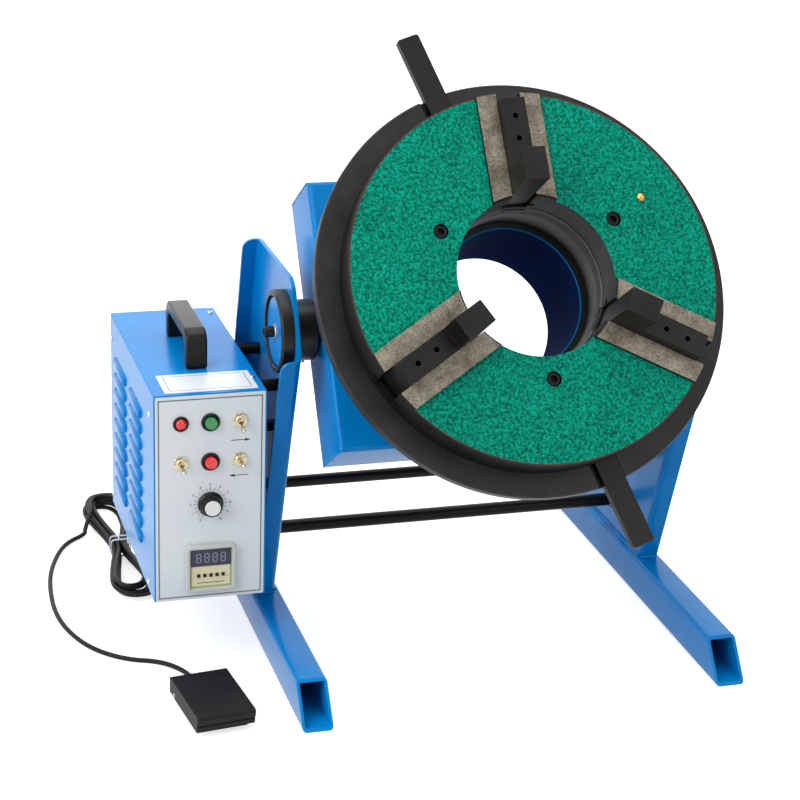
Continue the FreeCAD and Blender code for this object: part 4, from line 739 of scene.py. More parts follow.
for side in (-1, 1):
    lathe([(DISC_R + 0.5, face), (RING_R, face), (RING_R, face + 11), (RING_R - 1.5, face + 12.5),
           (DISC_R + 1.2, face + 12.5), (DISC_R + 0.5, face + 11.8)], 96, rings, axle(side))
    lathe([(0, face + 3), (DISC_R, face + 3), (DISC_R, seat - 1), (DISC_R - 1, seat), (9, seat),
           (8.6, seat - 0.4), (0, seat - 0.4)], 96, discs, axle(side))
    lathe([(0, seat - 0.4), (7.2, seat - 0.4), (7.2, seat + 0.8), (6.6, seat + 1.4), (0, seat + 1.4)], 48,
          washers, axle(side))
    lathe([(0, seat + 1.4), (5.4, seat + 1.4), (5.4, seat + 10.2), (4.6, seat + 11), (3.5, seat + 11),
           (3.5, seat + 6), (0, seat + 6)], 48, screws, axle(side))
    lathe([(0, 166), (27, 166), (27, 172), (JOURNAL_R, 172), (JOURNAL_R, face + 2.9), (0, face + 2.9)], 72,
          journals, axle(side))
make_piece("lock_ring_pair", rings, FRAME, "frame", [RING_ENAMEL], ["lock_rings"], bevel=0.3)
make_piece("tilt_disc_pair", discs, FRAME, "tilting_housing", [BLUE_ENAMEL], ["tilt_discs"])
make_piece("tilt_washers", washers, FRAME, "tilting_housing", [ZINC])
make_piece("tilt_screw_pair", screws, FRAME, "tilting_housing", [BLACK_STEEL],
           ["tilt_screws"], bevel=0.2)
make_piece("trunnion_pair", journals, FRAME, "tilting_housing", [GROUND_STEEL], ["trunnions"])

# %% [markdown]
# ## The tilting housing
# A folded pan with welded corners, open at the back and closed by a flat cover with eight dome-headed
# screws.  Its front edges are rounded, and a ground weld runs down each corner.

# %% Housing pan
PAN_TOP, PAN_LOW, PAN_FRONT, PAN_BACK, PAN_SHEET = 136, 129, 38.5, 35, 4


def pan():
    bm = block((-PAN_HALF, PAN_HALF), (-PAN_LOW, PAN_TOP), (-PAN_BACK, PAN_FRONT))
    front_edges = [edge for edge in bm.edges if all(vert.co.z > 0 for vert in edge.verts)]
    bmesh.ops.bevel(bm, geom=front_edges, offset=5, segments=6, profile=0.5, affect="EDGES", material=-1)
    inside = PAN_HALF - PAN_SHEET
    hollow = block((-inside, inside), (-PAN_LOW + PAN_SHEET, PAN_TOP - PAN_SHEET),
                   (-PAN_BACK - 5, PAN_FRONT - PAN_SHEET))
    hole = drill(0, 0, 80, 0, 60, 96)
    return make_piece("housing_shell", bm, TABLE, "tilting_housing", [BLUE_ENAMEL],
                      ["housing_pan"], bevel=0.3, cutters=[hollow, hole])


pan()
seams = bmesh.new()
for x in (-PAN_HALF, PAN_HALF):
    for y in (-PAN_LOW, PAN_TOP):
        inward = shift(math.copysign(0.45, -x) + x, math.copysign(0.45, -y) + y, 0)
        lathe([(0, -PAN_BACK + 0.5), (1.1, -PAN_BACK + 1), (1.25, 0), (1.1, 31), (0, 32)], 12, seams, inward)
make_piece("corner_welds", seams, TABLE, "tilting_housing", [BLUE_ENAMEL])
cover_heads, cover_sockets = bmesh.new(), []
for x, y in ((-150, -112), (0, -112), (150, -112), (-150, 119), (0, 119), (150, 119), (-162, 3), (162, 3)):
    spot = shift(x, y, -PAN_BACK - 0.1) @ turn_x(180)
    lathe([(0, -0.5), (5.5, -0.5), (5.5, 0.6), (4.6, 2.2), (2.6, 3.1), (0, 3.2)], 32, cover_heads, spot)
    cover_sockets.append(drill(0, 0, 2.3, 1.2, 5, 6, matrix=spot))
make_piece("housing_cover_screws", cover_heads, TABLE, "tilting_housing", [ZINC], bevel=0.15,
           cutters=cover_sockets)
bearing_ring = lathe([(78.3, 38.5), (115, 38.5), (115, 63.5), (113, 65.5), (78.3, 65.5)], 128)
make_piece("spindle_bearing_ring", bearing_ring, TABLE, "tilting_housing", [BLACK_ENAMEL],
           ["spindle_bearing"], bevel=0.3)

# %% [markdown]
# ## The chuck body
# One iron casting.  Its face has three wide lands that are milled bare, and the sectors between them
# keep the cast skin under green enamel.  Cutters take the same cuts as the mill: the sectors, the jaw
# slots with their T wings, and the counterbores.  The bore and the rim are blackened in a darker black
# that adds painted shade, the lands' side walls take the same black as painted shade along their creases,
# and a lip inside the bore, in a paler steel that is a painted highlight, stops short of each jaw slot.

# %% Chuck body
CHUCK_TURN, FACE_AT, LAND_TOP, CHUCK_R, CHUCK_BACK = 31.5, 149.5, 153.5, 177, 113.5
LAND_WIDE, BORE_R = 62, 76
CHUCK = TABLE @ turn_z(CHUCK_TURN)
THIRDS = [turn_z(120 * number) for number in range(3)]


def chuck_cutters():
    cutters = []
    apex, reach = LAND_WIDE / 2 / math.sin(math.radians(60)), 300
    lean, rise = math.cos(math.radians(60)), math.sin(math.radians(60))
    for turn in THIRDS:
        wedge = [(apex, 0), (apex + reach * lean, -reach * rise), (reach * 1.5, -reach * rise),
                 (reach * 1.5, reach * rise), (apex + reach * lean, reach * rise)]
        cutters.append(prism(wedge, FACE_AT, LAND_TOP + 5, matrix=turn))
        cutters.append(block((-195, -60), (-11.9, 11.9), (118.5, LAND_TOP + 5), matrix=turn))
        cutters.append(block((-195, -60), (-16.9, 16.9), (125, 130.8), matrix=turn))
        cutters.append(drill(97.5, 0, 7.2, 140.5, LAND_TOP + 5, 40, matrix=turn))
    cutters.append(drill(134, 1, 4.3, 143.5, LAND_TOP + 5, 24))
    return cutters


def chuck_finish(face):
    """0 green cast skin, 1 milled land, 2 blackened; on the lands' side walls this black is painted shade
    along their creases.
    """
    height = face.center.z
    if face.normal.z > 0.9 and height > LAND_TOP - 0.5:
        return 1
    if face.normal.z > 0.9 and abs(height - FACE_AT) < 0.1:
        return 0
    # Everything else is blackened; on the lands' side walls the black is painted shade along their creases.
    return 2


chuck_profile = [(BORE_R, 100.5), (106, 100.5), (106, 118.7), (171, 118.7), (171, CHUCK_BACK),
                 (CHUCK_R, CHUCK_BACK), (CHUCK_R, 152.7), (176.2, LAND_TOP), (78, LAND_TOP), (BORE_R, 151.5),
                 (BORE_R, CHUCK_BACK), (78.5, CHUCK_BACK), (78.5, 110.5), (BORE_R, 110.5)]
make_piece("chuck_casting", lathe(chuck_profile, 180), CHUCK, "table",
           [GREEN_CASTING, MILLED_IRON, BLACK_IRON_WITH_SHADE], ["chuck_body"], bevel=0.55, segments=3,
           paint=chuck_finish, cutters=chuck_cutters())
worn = lathe([(175.8, 149.46), (177.1, 149.46), (177.1, 149.85), (175.8, 149.62)], 180)
land_ends = [block((-195, -150), (-31.2, 31.2), (149, 151), matrix=turn) for turn in THIRDS]
make_piece("worn_paint_edge", worn, CHUCK, "table", [WORN_EDGE], cutters=land_ends)


def cap_screws():
    """Socket screws: a cylinder head with a rolled edge and a hexagon socket."""
    bm, cuts = bmesh.new(), []
    for turn in THIRDS:
        lathe([(0, 140.6), (6.6, 140.6), (6.6, 147.6), (5.8, 148.5), (0, 148.5)], 40, bm,
              turn @ shift(97.5, 0, 0))
        cuts.append(drill(97.5, 0, 3.9, 144, 150, 6, matrix=turn))
    return bm, cuts


screw_mesh, socket_cuts = cap_screws()
# The cap screws take the darker black as painted shade in their counterbores.
make_piece("chuck_cap_screws", screw_mesh, CHUCK, "table", [BLACK_IRON_WITH_SHADE], ["chuck_screws"],
           bevel=0.2, cutters=socket_cuts)
# A paler steel lip inside the bore: a painted highlight along its front edge.
lip = lathe([(76.1, 113.5), (75.1, 113.7), (75, 115.2), (75.3, 116.2), (76.1, 116.6)], 160)
lip_gaps = [block((-90, -60), (-12.6, 12.6), (110, 120), matrix=turn) for turn in THIRDS]
make_piece("bore_lip", lip, CHUCK, "table", [LIP_HIGHLIGHT_STEEL], cutters=lip_gaps)
nipple = drill(134, 1, 4.2, 143.5, 149.9, 6)
lathe([(0, 149.9), (3.1, 149.9), (3.1, 150.6), (2.3, 151.2), (1.7, 151.6), (2.1, 152.2), (1.4, 152.7),
       (0.7, 152.4), (0, 152.3)], 32, nipple, shift(134, 1, 0))
make_piece("grease_fitting", nipple, CHUCK, "table", [BRASS], ["grease_nipple"], bevel=0.25)

# %% [markdown]
# ## Jaws
# A jaw is a stepped bar of hardened, oil-blackened steel: a low step with two tapped holes and a tall
# step at the inner end, with guide tongues along both sides.  Its edges are broken only slightly.

# %% Jaws
JAW_WIDE, JAW_LOW, JAW_FAR, STEP_END = 23, 78, 168, 109
BASE_TOP, STEP_TOP, TONGUE_LOW = 165, 195.5, 125.4
for number, body in enumerate(("first_jaw", "second_jaw", "third_jaw")):
    turn = TABLE @ turn_z(1.5 + 90 + 120 * number)
    profile = [(JAW_LOW, 113.9), (JAW_FAR - 7, 113.9), (JAW_FAR - 7, 118.9), (JAW_FAR, 118.9),
               (JAW_FAR, BASE_TOP), (STEP_END, BASE_TOP), (STEP_END, STEP_TOP), (JAW_LOW, STEP_TOP)]
    jaw = prism(profile, -JAW_WIDE / 2, JAW_WIDE / 2, matrix=EDGEWISE)
    holes = [drill(x, 0, 2.8, BASE_TOP - 15, BASE_TOP + 2, 32) for x in (128, 150)]
    make_piece("stepped_jaw_%d" % (number + 1), jaw, turn, body, [JAW_STEEL],
               ["jaw_%d" % (number + 1)], bevel=0.45, segments=3, cutters=holes)
    tongues = bmesh.new()
    for side in (-1, 1):
        inner, outer = sorted((side * JAW_WIDE / 2 - side * 1, side * 16.5))
        block((JAW_LOW, JAW_FAR), (inner, outer), (TONGUE_LOW, TONGUE_LOW + 5), tongues)
    make_piece("jaw_tongues_%d" % (number + 1), tongues, turn, body, [JAW_STEEL],
               bevel=0.4)
    # A flat ring of paler black round each hole stands for its chamfer: a painted highlight.
    chamfer_highlights = bmesh.new()
    for x in (128, 150):
        lathe([(2.8, 0.02), (3.5, 0.02), (3.5, 0.06), (2.8, 0.06)], 32, chamfer_highlights, shift(x, 0, BASE_TOP))
    make_piece("jaw_hole_rims_%d" % (number + 1), chamfer_highlights, turn, body, [BLACK_STEEL])

# %% [markdown]
# ## Scroll ring and lever bars
# The ring behind the chuck body carries the scroll's spiral.  Two flat bars sit in slots across its
# edge; each slot is wider than its bar, which leaves a dark gap on one side.

# %% Scroll ring
SCROLL_R, SCROLL_BACK, SCROLL_FRONT, LEVER_TURN = 200, 101.5, 113.1, 108
LEVER_WIDE, LEVER_THICK, LEVER_ROOT, LEVER_REACH, SLOT_GAP = 22.5, 8, 168, 263, 6
SCROLL = TABLE @ turn_z(LEVER_TURN)
ring = lathe([(106.3, SCROLL_BACK), (198.8, SCROLL_BACK), (SCROLL_R, 102.7), (SCROLL_R, 111.9),
              (198.8, SCROLL_FRONT), (106.3, SCROLL_FRONT)], 240)
half = LEVER_WIDE / 2
slots = [block((LEVER_ROOT, 210), (-half, half + SLOT_GAP), (SCROLL_FRONT - LEVER_THICK, 120)),
         block((-210, -LEVER_ROOT), (-half, half + SLOT_GAP), (SCROLL_FRONT - LEVER_THICK, 120))]
make_piece("scroll_ring_turned", ring, SCROLL, "scroll", [BLACK_STEEL], ["scroll_ring"],
           bevel=0.3, cutters=slots)
levers = bmesh.new()
for turn in (0, 180):
    rounded(LEVER_REACH - LEVER_ROOT, LEVER_WIDE - 0.1, 3, SCROLL_FRONT - LEVER_THICK + 0.02,
            SCROLL_FRONT - 0.02, levers, turn_z(turn), 5, ((LEVER_REACH + LEVER_ROOT) / 2, 0))
make_piece("scroll_levers", levers, SCROLL, "scroll", [JAW_STEEL], ["lever_bars"],
           bevel=0.6, segments=3)

# %% [markdown]
# ## Spindle
# A hollow spindle runs through the housing; its bore is blue paint, darkened as painted shade.  The flange
# in front of it is blackened, and a ring gear drives it from inside the housing.

# %% Spindle
def spindle_finish(face):
    """0 blue paint in the bore, darkened as painted shade; 1 the plain blue rim behind; 2 blackened outside.
    """
    if math.hypot(face.center.x, face.center.y) < 71 and abs(face.normal.z) < 0.2:
        return 0
    return 1 if face.center.z < -29 or 0.2 < face.normal.z < 0.9 else 2


tube = lathe([(70, -29.2), (70.8, -30), (77.2, -30), (78, -29.2), (78, 69.5), (71.1, 69.5), (70, 68.4)], 160)
make_piece("spindle_sleeve", tube, TABLE, "table", [BORE_BLUE_SHADE, BLUE_ENAMEL, BLACK_STEEL],
           ["spindle_tube"], paint=spindle_finish)
flange = lathe([(BORE_R, 69.5), (116, 69.5), (118, 71.5), (118, 100.5), (BORE_R, 100.5)], 160)
make_piece("spindle_flange_turned", flange, CHUCK, "table", [BLACK_STEEL],
           ["spindle_flange"], bevel=0.3)

# %% [markdown]
# ## The control box
# A folded cover of thin blue sheet over a tray.  The outer side has two columns of pressed louvers:
# long shallow domes, each with a thin black strip under its lower edge as painted shade for its opening.

# %% Box cover
BOX_SHEET, HALF_BOX = 1.5, BOX_WIDE / 2


def box_cover():
    bm = block((-HALF_BOX, HALF_BOX), (0, BOX_DEEP), (0, BOX_HIGH))
    open_faces = [face for face in bm.faces if abs(face.normal.y) > 0.9 or face.normal.z < -0.9]
    bmesh.ops.delete(bm, geom=open_faces, context="FACES_ONLY")
    folds = [edge for edge in bm.edges if len(edge.link_faces) == 2]
    bmesh.ops.bevel(bm, geom=folds, offset=2, segments=5, profile=0.5, affect="EDGES", material=-1)
    return make_piece("box_cover", bm, BOX, "frame", [BLUE_ENAMEL], ["box_shell"], bevel=0.25,
                      solid=BOX_SHEET)


box_cover()


def louver(bm, y, z):
    """One bulge: a ball drawn out along the wall, with its hidden half pressed nearly flat."""
    ball = bmesh.ops.create_uvsphere(bm, u_segments=24, v_segments=12, radius=1, matrix=EDGEWISE)["verts"]
    for vert in ball:
        draw = 28.4 * (1 if vert.co.y > 0.01 else -1 if vert.co.y < -0.01 else 0)
        out = 3.55 if vert.co.x < 0 else 0.6
        vert.co = (vert.co.x * out - HALF_BOX, vert.co.y * 4.1 + draw + y, vert.co.z * 6.1 + z)


domes, slit_shade = bmesh.new(), bmesh.new()
for column in (102.5, 193.5):
    for row in range(9):
        louver(domes, column, 36.7 + 16.5 * row)
        # A thin black strip on the wall under each dome: painted shade for the louver's opening.
        block((-HALF_BOX - 0.8, -HALF_BOX + 0.2), (column - 27, column + 27),
              (36.7 + 16.5 * row - 6.4, 36.7 + 16.5 * row - 5.8), slit_shade)
make_piece("louver_domes", domes, BOX, "frame", [BLUE_ENAMEL])
make_piece("louver_slit_shade", slit_shade, BOX, "frame", [BLACK_ENAMEL])

# %% [markdown]
# The tray closes the bottom and back.  The front panel is a white plate set just inside the cover, with
# a dark printed border.

# %% Tray and panel
tray = bmesh.new()
rim = [tray.verts.new((-53, y, z)) for y, z in ((2, 0), (BOX_DEEP, 0), (BOX_DEEP, BOX_HIGH - 1.5))]
for pair in zip(rim, rim[1:]):
    tray.edges.new(pair)
pulled = bmesh.ops.extrude_edge_only(tray, edges=tray.edges[:])["geom"]
far_verts = [item for item in pulled if isinstance(item, bmesh.types.BMVert)]
bmesh.ops.translate(tray, verts=far_verts, vec=(106, 0, 0))
bmesh.ops.bevel(tray, geom=[edge for edge in tray.edges if len(edge.link_faces) == 2], offset=2, segments=4,
                profile=0.5, affect="EDGES", material=-1)
rear_holes = [drill(-16, 31.7, 5, -BOX_DEEP - 5, -BOX_DEEP + 5, 40, matrix=EDGEWISE),
              drill(25, 150, 8, -BOX_DEEP - 5, -BOX_DEEP + 5, 40, matrix=EDGEWISE),
              block((-30, -2), (BOX_DEEP - 5, BOX_DEEP + 5), (140, 160))]
make_piece("box_tray", tray, BOX, "frame", [BLUE_ENAMEL], ["box_chassis"], bevel=0.25,
           solid=BOX_SHEET, cutters=rear_holes)

ROW_TOP, ROW_LOW, KNOB_ROW, TIMER_ROW, COLUMN = 183.2, 143, 99.5, 33.5, 28.5
BUTTONS = ((0, ROW_TOP), (0, ROW_LOW))
TOGGLES = ((COLUMN, ROW_TOP, 16), (-COLUMN, ROW_LOW, 8), (COLUMN, ROW_LOW, 0))
plate = rounded(106, 211, 1, -2, 0, centre=(0, 105.5))
panel_cuts = [drill(-COLUMN, ROW_TOP, 5.5, -5, 5)]
panel_cuts += [drill(x, row, 7.5, -5, 5, 40) for x, row in BUTTONS]
panel_cuts += [drill(x, row, 3, -5, 5) for x, row, _ in TOGGLES]
panel_cuts += [drill(0, KNOB_ROW, 4.5, -5, 5), block((-22.5, 22.5), (11, 56), (-5, 5))]
make_piece("front_panel", plate, PANEL, "frame", [WHITE_ENAMEL], ["box_front_panel"],
           bevel=0.3, cutters=panel_cuts)


def strip(bm, x, y, matrix=None):
    """A thin printed strip on the panel."""
    block(x, y, (-0.02, 0.12), bm, matrix)


border = bmesh.new()
for x in (-50.4, 49.2):
    strip(border, (x, x + 1.2), (2.6, 207.6))
for y in (2.6, 206.4):
    strip(border, (-50.4, 50.4), (y, y + 1.2))
make_piece("panel_border", border, PANEL, "frame", [GREY_PRINT])
arrows = bmesh.new()
for y, way in ((163, 1), (126.8, -1)):
    strip(arrows, (COLUMN - 8.5, COLUMN + 8.5), (y - 0.35, y + 0.35))
    tip = COLUMN + way * 10.5
    prism([(tip, y), (tip - way * 5.5, y + 1.5), (tip - way * 5.5, y - 1.5)], -0.02, 0.12, arrows)
make_piece("direction_arrows", arrows, PANEL, "frame", [BLACK_PRINT])
ticks = bmesh.new()
for step in range(21):
    turn = math.radians(240 - step * 15)
    long = 2.6 if step % 2 == 0 else 1.6
    place = shift(0, KNOB_ROW, 0) @ Matrix.Rotation(turn, 4, "Z")
    strip(ticks, (14.2, 14.2 + long), (-0.22, 0.22), place)
make_piece("speed_scale", ticks, PANEL, "frame", [BLACK_PRINT])


def figures(items):
    """Plain printed figures, flat on the panel, from (text, x, y, size)."""
    bm = bmesh.new()
    for words, x, y, size in items:
        text = bpy.data.curves.new("figure", "FONT")
        text.body, text.size, text.align_x, text.align_y = words, size, "CENTER", "CENTER"
        text.extrude = 0.06
        figure = add_object(text.name, text)
        bpy.context.view_layer.update()
        mesh = bpy.data.meshes.new_from_object(figure.evaluated_get(bpy.context.evaluated_depsgraph_get()))
        mesh.transform(shift(x, y, 0.05))
        bm.from_mesh(mesh)
        bpy.data.objects.remove(figure)
        bpy.data.curves.remove(text)
        bpy.data.meshes.remove(mesh)
    return bm


printed = []
for value in range(11):
    turn = math.radians(240 - value * 30)
    printed.append((str(value), 19.4 * math.cos(turn), KNOB_ROW + 19.4 * math.sin(turn), 3.6))
make_piece("panel_figures", figures(printed), PANEL, "frame", [BLACK_PRINT])

# %% [markdown]
# A bare label plate lies on the cover behind the panel, with its border printed and its middle left
# blank.  Small cross-head screws hold the cover.

# %% Label and screws
TOP = BOX @ shift(0, 0, BOX_HIGH)
label = rounded(90, 50, 1.5, 0.02, 0.5, centre=(2.2, 29.5))
make_piece("label_plate", label, TOP, "frame", [WHITE_ENAMEL], bevel=0.12)
lines = bmesh.new()
for x in (-37.5, 41.2):
    block((x, x + 0.8), (9.5, 49.5), (0.48, 0.58), lines)
for y in (9.5, 48.7):
    block((-37.5, 42), (y, y + 0.8), (0.48, 0.58), lines)
make_piece("label_border", lines, TOP, "frame", [GREY_PRINT])


def cover_screws():
    bm, cuts = bmesh.new(), []
    spots = [shift(side * HALF_BOX, y, z) @ turn_y(90 * side)
             for y, z in ((22, 186.5), (32, 7.5), (249, 186.5), (249, 12)) for side in (-1, 1)]
    spots += [shift(HALF_BOX - 7, y, BOX_HIGH) for y in (36, 237)]
    for number, spot in enumerate(spots):
        lathe([(0, 0), (3.2, 0), (3.1, 0.7), (2.6, 1.3), (1.5, 1.65), (0, 1.7)], 24, bm, spot)
        turned = spot @ turn_z(20 + 33 * number)
        cuts.append(block((-1.9, 1.9), (-0.3, 0.3), (0.9, 3), matrix=turned))
        cuts.append(block((-0.3, 0.3), (-1.9, 1.9), (0.9, 3), matrix=turned))
    return bm, cuts


heads, crosses = cover_screws()
make_piece("cover_screw_heads", heads, BOX, "frame", [ZINC], ["box_screws"], cutters=crosses)

# %% [markdown]
# The handle is one black moulding: a bowed bridge with broad feet, bolted from inside.

# %% Carry handle
HANDLE_FRONT, HANDLE_LONG, HANDLE_HIGH, HANDLE_WIDE = 66, 112, 39, 21
bridge = prism([(0, 0), (HANDLE_LONG, 0), (HANDLE_LONG, HANDLE_HIGH), (0, HANDLE_HIGH)], -HANDLE_WIDE / 2,
               HANDLE_WIDE / 2, matrix=shift(0, HANDLE_FRONT, 0) @ SIDEWISE, round_at=(2, 3), radius=15,
               steps=12)
under = prism([(13, -5), (HANDLE_LONG - 13, -5), (HANDLE_LONG - 13, 27), (13, 27)], -20, 20,
              matrix=shift(0, HANDLE_FRONT, 0) @ SIDEWISE, round_at=(2, 3), radius=9, steps=10)
make_piece("bridge_handle", bridge, TOP, "frame", [GLOSS_BLACK], ["carry_handle"], bevel=2.6,
           segments=5, cutters=[under])

# %% [markdown]
# ## Controls
# The pilot lamp and the two push buttons sit in black bezels.  Toggle levers stand in nickelled
# bushings with a ribbed washer and a hexagon nut.

# %% Lamp and buttons
lens = lathe([(0, -14), (5.5, -14), (5.5, 1.6), (4.9, 3.2), (3.6, 4.4), (1.8, 5.05), (0, 5.2)], 48)
make_piece("lamp_lens", lens, PANEL @ shift(-COLUMN, ROW_TOP, 0), "frame", [RED_LENS],
           ["pilot_lamp"])
bezels = lathe([(5.55, 0.02), (7.5, 0.02), (7.5, 1.4), (6.9, 2.3), (6.2, 2.5), (5.55, 1.9)], 64, None,
               shift(-COLUMN, ROW_TOP, 0))
for x, row in BUTTONS:
    lathe([(3.1, -18), (7.4, -18), (7.4, 0.02), (9, 0.02), (9, 1.6), (8.3, 2.6), (7.2, 2.9), (6.5, 2.4),
           (6.5, -2.5), (3.1, -2.5)], 64, bezels, shift(x, row, 0))
make_piece("black_bezels", bezels, PANEL, "frame", [GLOSS_BLACK], ["panel_bezels"])
for (x, row), purpose, finish, slot in ((BUTTONS[0], "reset", GREEN_CAP, "green_plastic"),
                                        (BUTTONS[1], "lock", RED_CAP, "red_plastic")):
    cap = lathe([(0, -14), (3, -14), (3, 0), (6, 0), (6, 5.4), (5.7, 6.2), (5, 6.6), (3.5, 6.5),
                 (0, 6.35)], 64)
    make_piece(purpose + "_button_cap", cap, PANEL @ shift(x, row, 0), purpose + "_push", [finish],
               [purpose + "_button"])

# %% [markdown]
# ## Toggle switches
# Each switch has a threaded bush, a nut and a bat-shaped stick that leans to one of its sides.

# %% Toggle switches
bushes = bmesh.new()
for x, row, _ in TOGGLES:
    at = shift(x, row, 0)
    lathe([(0, -16), (6, -16), (6, -2.1), (2.9, -2.1), (2.9, 5.2), (2.75, 6), (2.65, 6), (2.65, -6),
           (0, -6)], 40, bushes, at)
    lathe([(3.1, 0.02), (7.4, 0.02), (7.4, 0.7), (6.9, 1.05), (3.1, 1.05)], 48, bushes, at)
    bmesh.ops.create_cone(bushes, cap_ends=True, segments=6, radius1=6.3, radius2=6.3, depth=2.3,
                          matrix=at @ shift(0, 0, 2.2) @ turn_z(12 + x))
    lathe([(3, 3.3), (5.2, 3.3), (4.7, 3.8), (3, 3.8)], 40, bushes, at)
make_piece("toggle_bushes", bushes, PANEL, "frame", [NICKEL], ["toggle_bushings"], bevel=0.2)
for (x, row, drop), purpose in zip(TOGGLES, ("power", "mode", "direction")):
    at = PANEL @ shift(x, row, 0) @ turn_x(drop)
    stick = lathe([(0, -3.5), (1, -3.5), (1.3, 0), (1, 2), (0.8, 6), (0.8, 7.5), (1.2, 9), (1.7, 14),
                   (1.95, 17), (1.75, 18.3), (1.1, 19), (0, 19.2)], 32)
    make_piece(purpose + "_toggle_stick", stick, at, purpose + "_lever", [NICKEL],
               [purpose + "_toggle"])

# %% [markdown]
# The speed knob has a fluted black skirt, a pale cap and a line that points at the scale.

# %% Speed knob
KNOB = PANEL @ shift(0, KNOB_ROW, 0)
skirt = lathe([(0, 1), (12.3, 1), (12.5, 1.3), (12.5, 2.6), (12, 3.2), (10.6, 4.4), (9.6, 11.4), (9, 12.2),
               (7.6, 12.4), (0, 12.4)], 96)
flutes = [drill(10.75, 0, 0.62, 4.6, 14, 10, matrix=turn_z(15 * number)) for number in range(24)]
make_piece("knob_skirt", skirt, KNOB, "knob", [GLOSS_BLACK], ["speed_knob"], cutters=flutes)
cap = lathe([(0, 12.3), (7.6, 12.3), (7.6, 13.2), (7.1, 13.7), (5.8, 13.6), (0, 13.4)], 64)
make_piece("knob_cap", cap, KNOB, "knob", [PALE_CAP])
pointer = block((-0.35, 0.35), (9.2, 12.3), (3.3, 3.7))
make_piece("knob_pointer", pointer, KNOB @ turn_z(118), "knob", [PALE_CAP])
bush = lathe([(0, -18), (12, -18), (12, -2.1), (4.4, -2.1), (4.4, 0.6), (3.1, 0.6), (3.1, -12), (0, -12)], 48)
make_piece("speed_control_body", bush, KNOB, "frame", [ZINC], ["speed_control"])

# %% [markdown]
# The timer is a standard square unit: a frosted clear bezel round a recessed face, a slate display
# with pale segments above, and a beige field with a lime border and five thumb keys below.

# %% Timer
TIMER = PANEL @ shift(0, TIMER_ROW, 0)
case = rounded(48, 48, 4, 0.02, 6)
rounded(44.5, 44.5, 1, -60, 0.02, case)
recess = rounded(41.4, 41.4, 1.5, 3.4, 8)
make_piece("timer_housing", case, TIMER, "frame", [FROSTED_BEZEL], ["timer_case"],
           bevel=0.7, segments=3, cutters=[recess])
field = rounded(41, 41, 1, 3.3, 3.8)
make_piece("timer_field", field, TIMER, "frame", [IVORY_PLASTIC], bevel=0.1)
screen = block((-19.8, 19.8), (2.4, 19.6), (3.75, 4.4))
make_piece("timer_screen", screen, TIMER, "frame", [DISPLAY], ["timer_window"], bevel=0.1)
lime = bmesh.new()
for x, y in (((-20.2, -18.6), (-20.2, 2)), ((18.6, 20.2), (-20.2, 2)), ((-18.6, 18.6), (-20.2, -18.4))):
    block(x, y, (3.75, 3.9), lime)
make_piece("timer_border", lime, TIMER, "frame", [LIME_PRINT])
segments = bmesh.new()
for number in range(4):
    x, wide, tall = -12 + 8 * number, 4.2, 9
    for row in (0, 1, 2):
        bar_y = 6.6 + row * tall / 2
        block((x - wide / 2 + 0.5, x + wide / 2 - 0.5), (bar_y - 0.4, bar_y + 0.4), (4.35, 4.46), segments)
    for edge in (-1, 1):
        for row in (0, 1):
            block((x + edge * wide / 2 - 0.4, x + edge * wide / 2 + 0.4),
                  (7.1 + row * tall / 2, 6.1 + (row + 1) * tall / 2), (4.35, 4.46), segments)
make_piece("timer_segments", segments, TIMER, "frame", [SEGMENT])
keys = bmesh.new()
for number in range(5):
    rounded(3, 3.4, 0.5, 3.7, 4.9, keys, centre=(-12 + 6 * number, -7.5), steps=3)
block((-13.5, 13.5), (-15.6, -14.9), (3.75, 3.88), keys)
make_piece("timer_keys", keys, TIMER, "frame", [BLACK_PLASTIC], bevel=0.25)

# %% [markdown]
# ## Foot pedal
# A hollow black tread rocks on a pin over a base plate.  Its front lip slopes under a fine crease, its
# top has a fine grain, and a groove runs across it near the back.

# %% Pedal
PEDAL = FRAME @ shift(-300, -122, 0) @ turn_z(6.6)
PEDAL_WIDE, PEDAL_LONG, PEDAL_HIGH = 57, 88, 23
front, back, half_wide = -PEDAL_LONG / 2, PEDAL_LONG / 2, PEDAL_WIDE / 2
side_view = [(front + 3.5, 7), (front + 2.2, 12), (front + 3.2, 12.5), (front + 3.1, 13.2),
             (front + 1.8, 13.8), (front, PEDAL_HIGH - 3.5), (front + 1, PEDAL_HIGH - 0.8),
             (front + 3, PEDAL_HIGH), (back - 22, PEDAL_HIGH), (back - 21.4, PEDAL_HIGH - 0.7),
             (back - 20.6, PEDAL_HIGH - 0.7), (back - 20, PEDAL_HIGH), (back - 1, PEDAL_HIGH),
             (back, PEDAL_HIGH - 1), (back, 7)]
tread = prism(side_view, -half_wide, half_wide, matrix=SIDEWISE)
pedal_cuts = [block((-26, 26), (-38, 41.5), (5, 20.5)), block((-6, 6), (38, 50), (4, 16)),
              drill(0, 0, 2.05, -40, 40, 24, matrix=shift(0, 30, 10) @ turn_y(90))]
make_piece("pedal_tread_shell", tread, PEDAL, "tread", [PEDAL_PLASTIC], ["pedal_tread"],
           bevel=1.1, segments=4, cutters=pedal_cuts)

# %% [markdown]
# ## The pedal's cord
# One thin rubber cord runs from the gland on the back of the box, winds into a long hank, and goes on
# along the floor to the pedal.  Its turns lie a little unevenly, in two nested rows, and cross the tie
# close together.

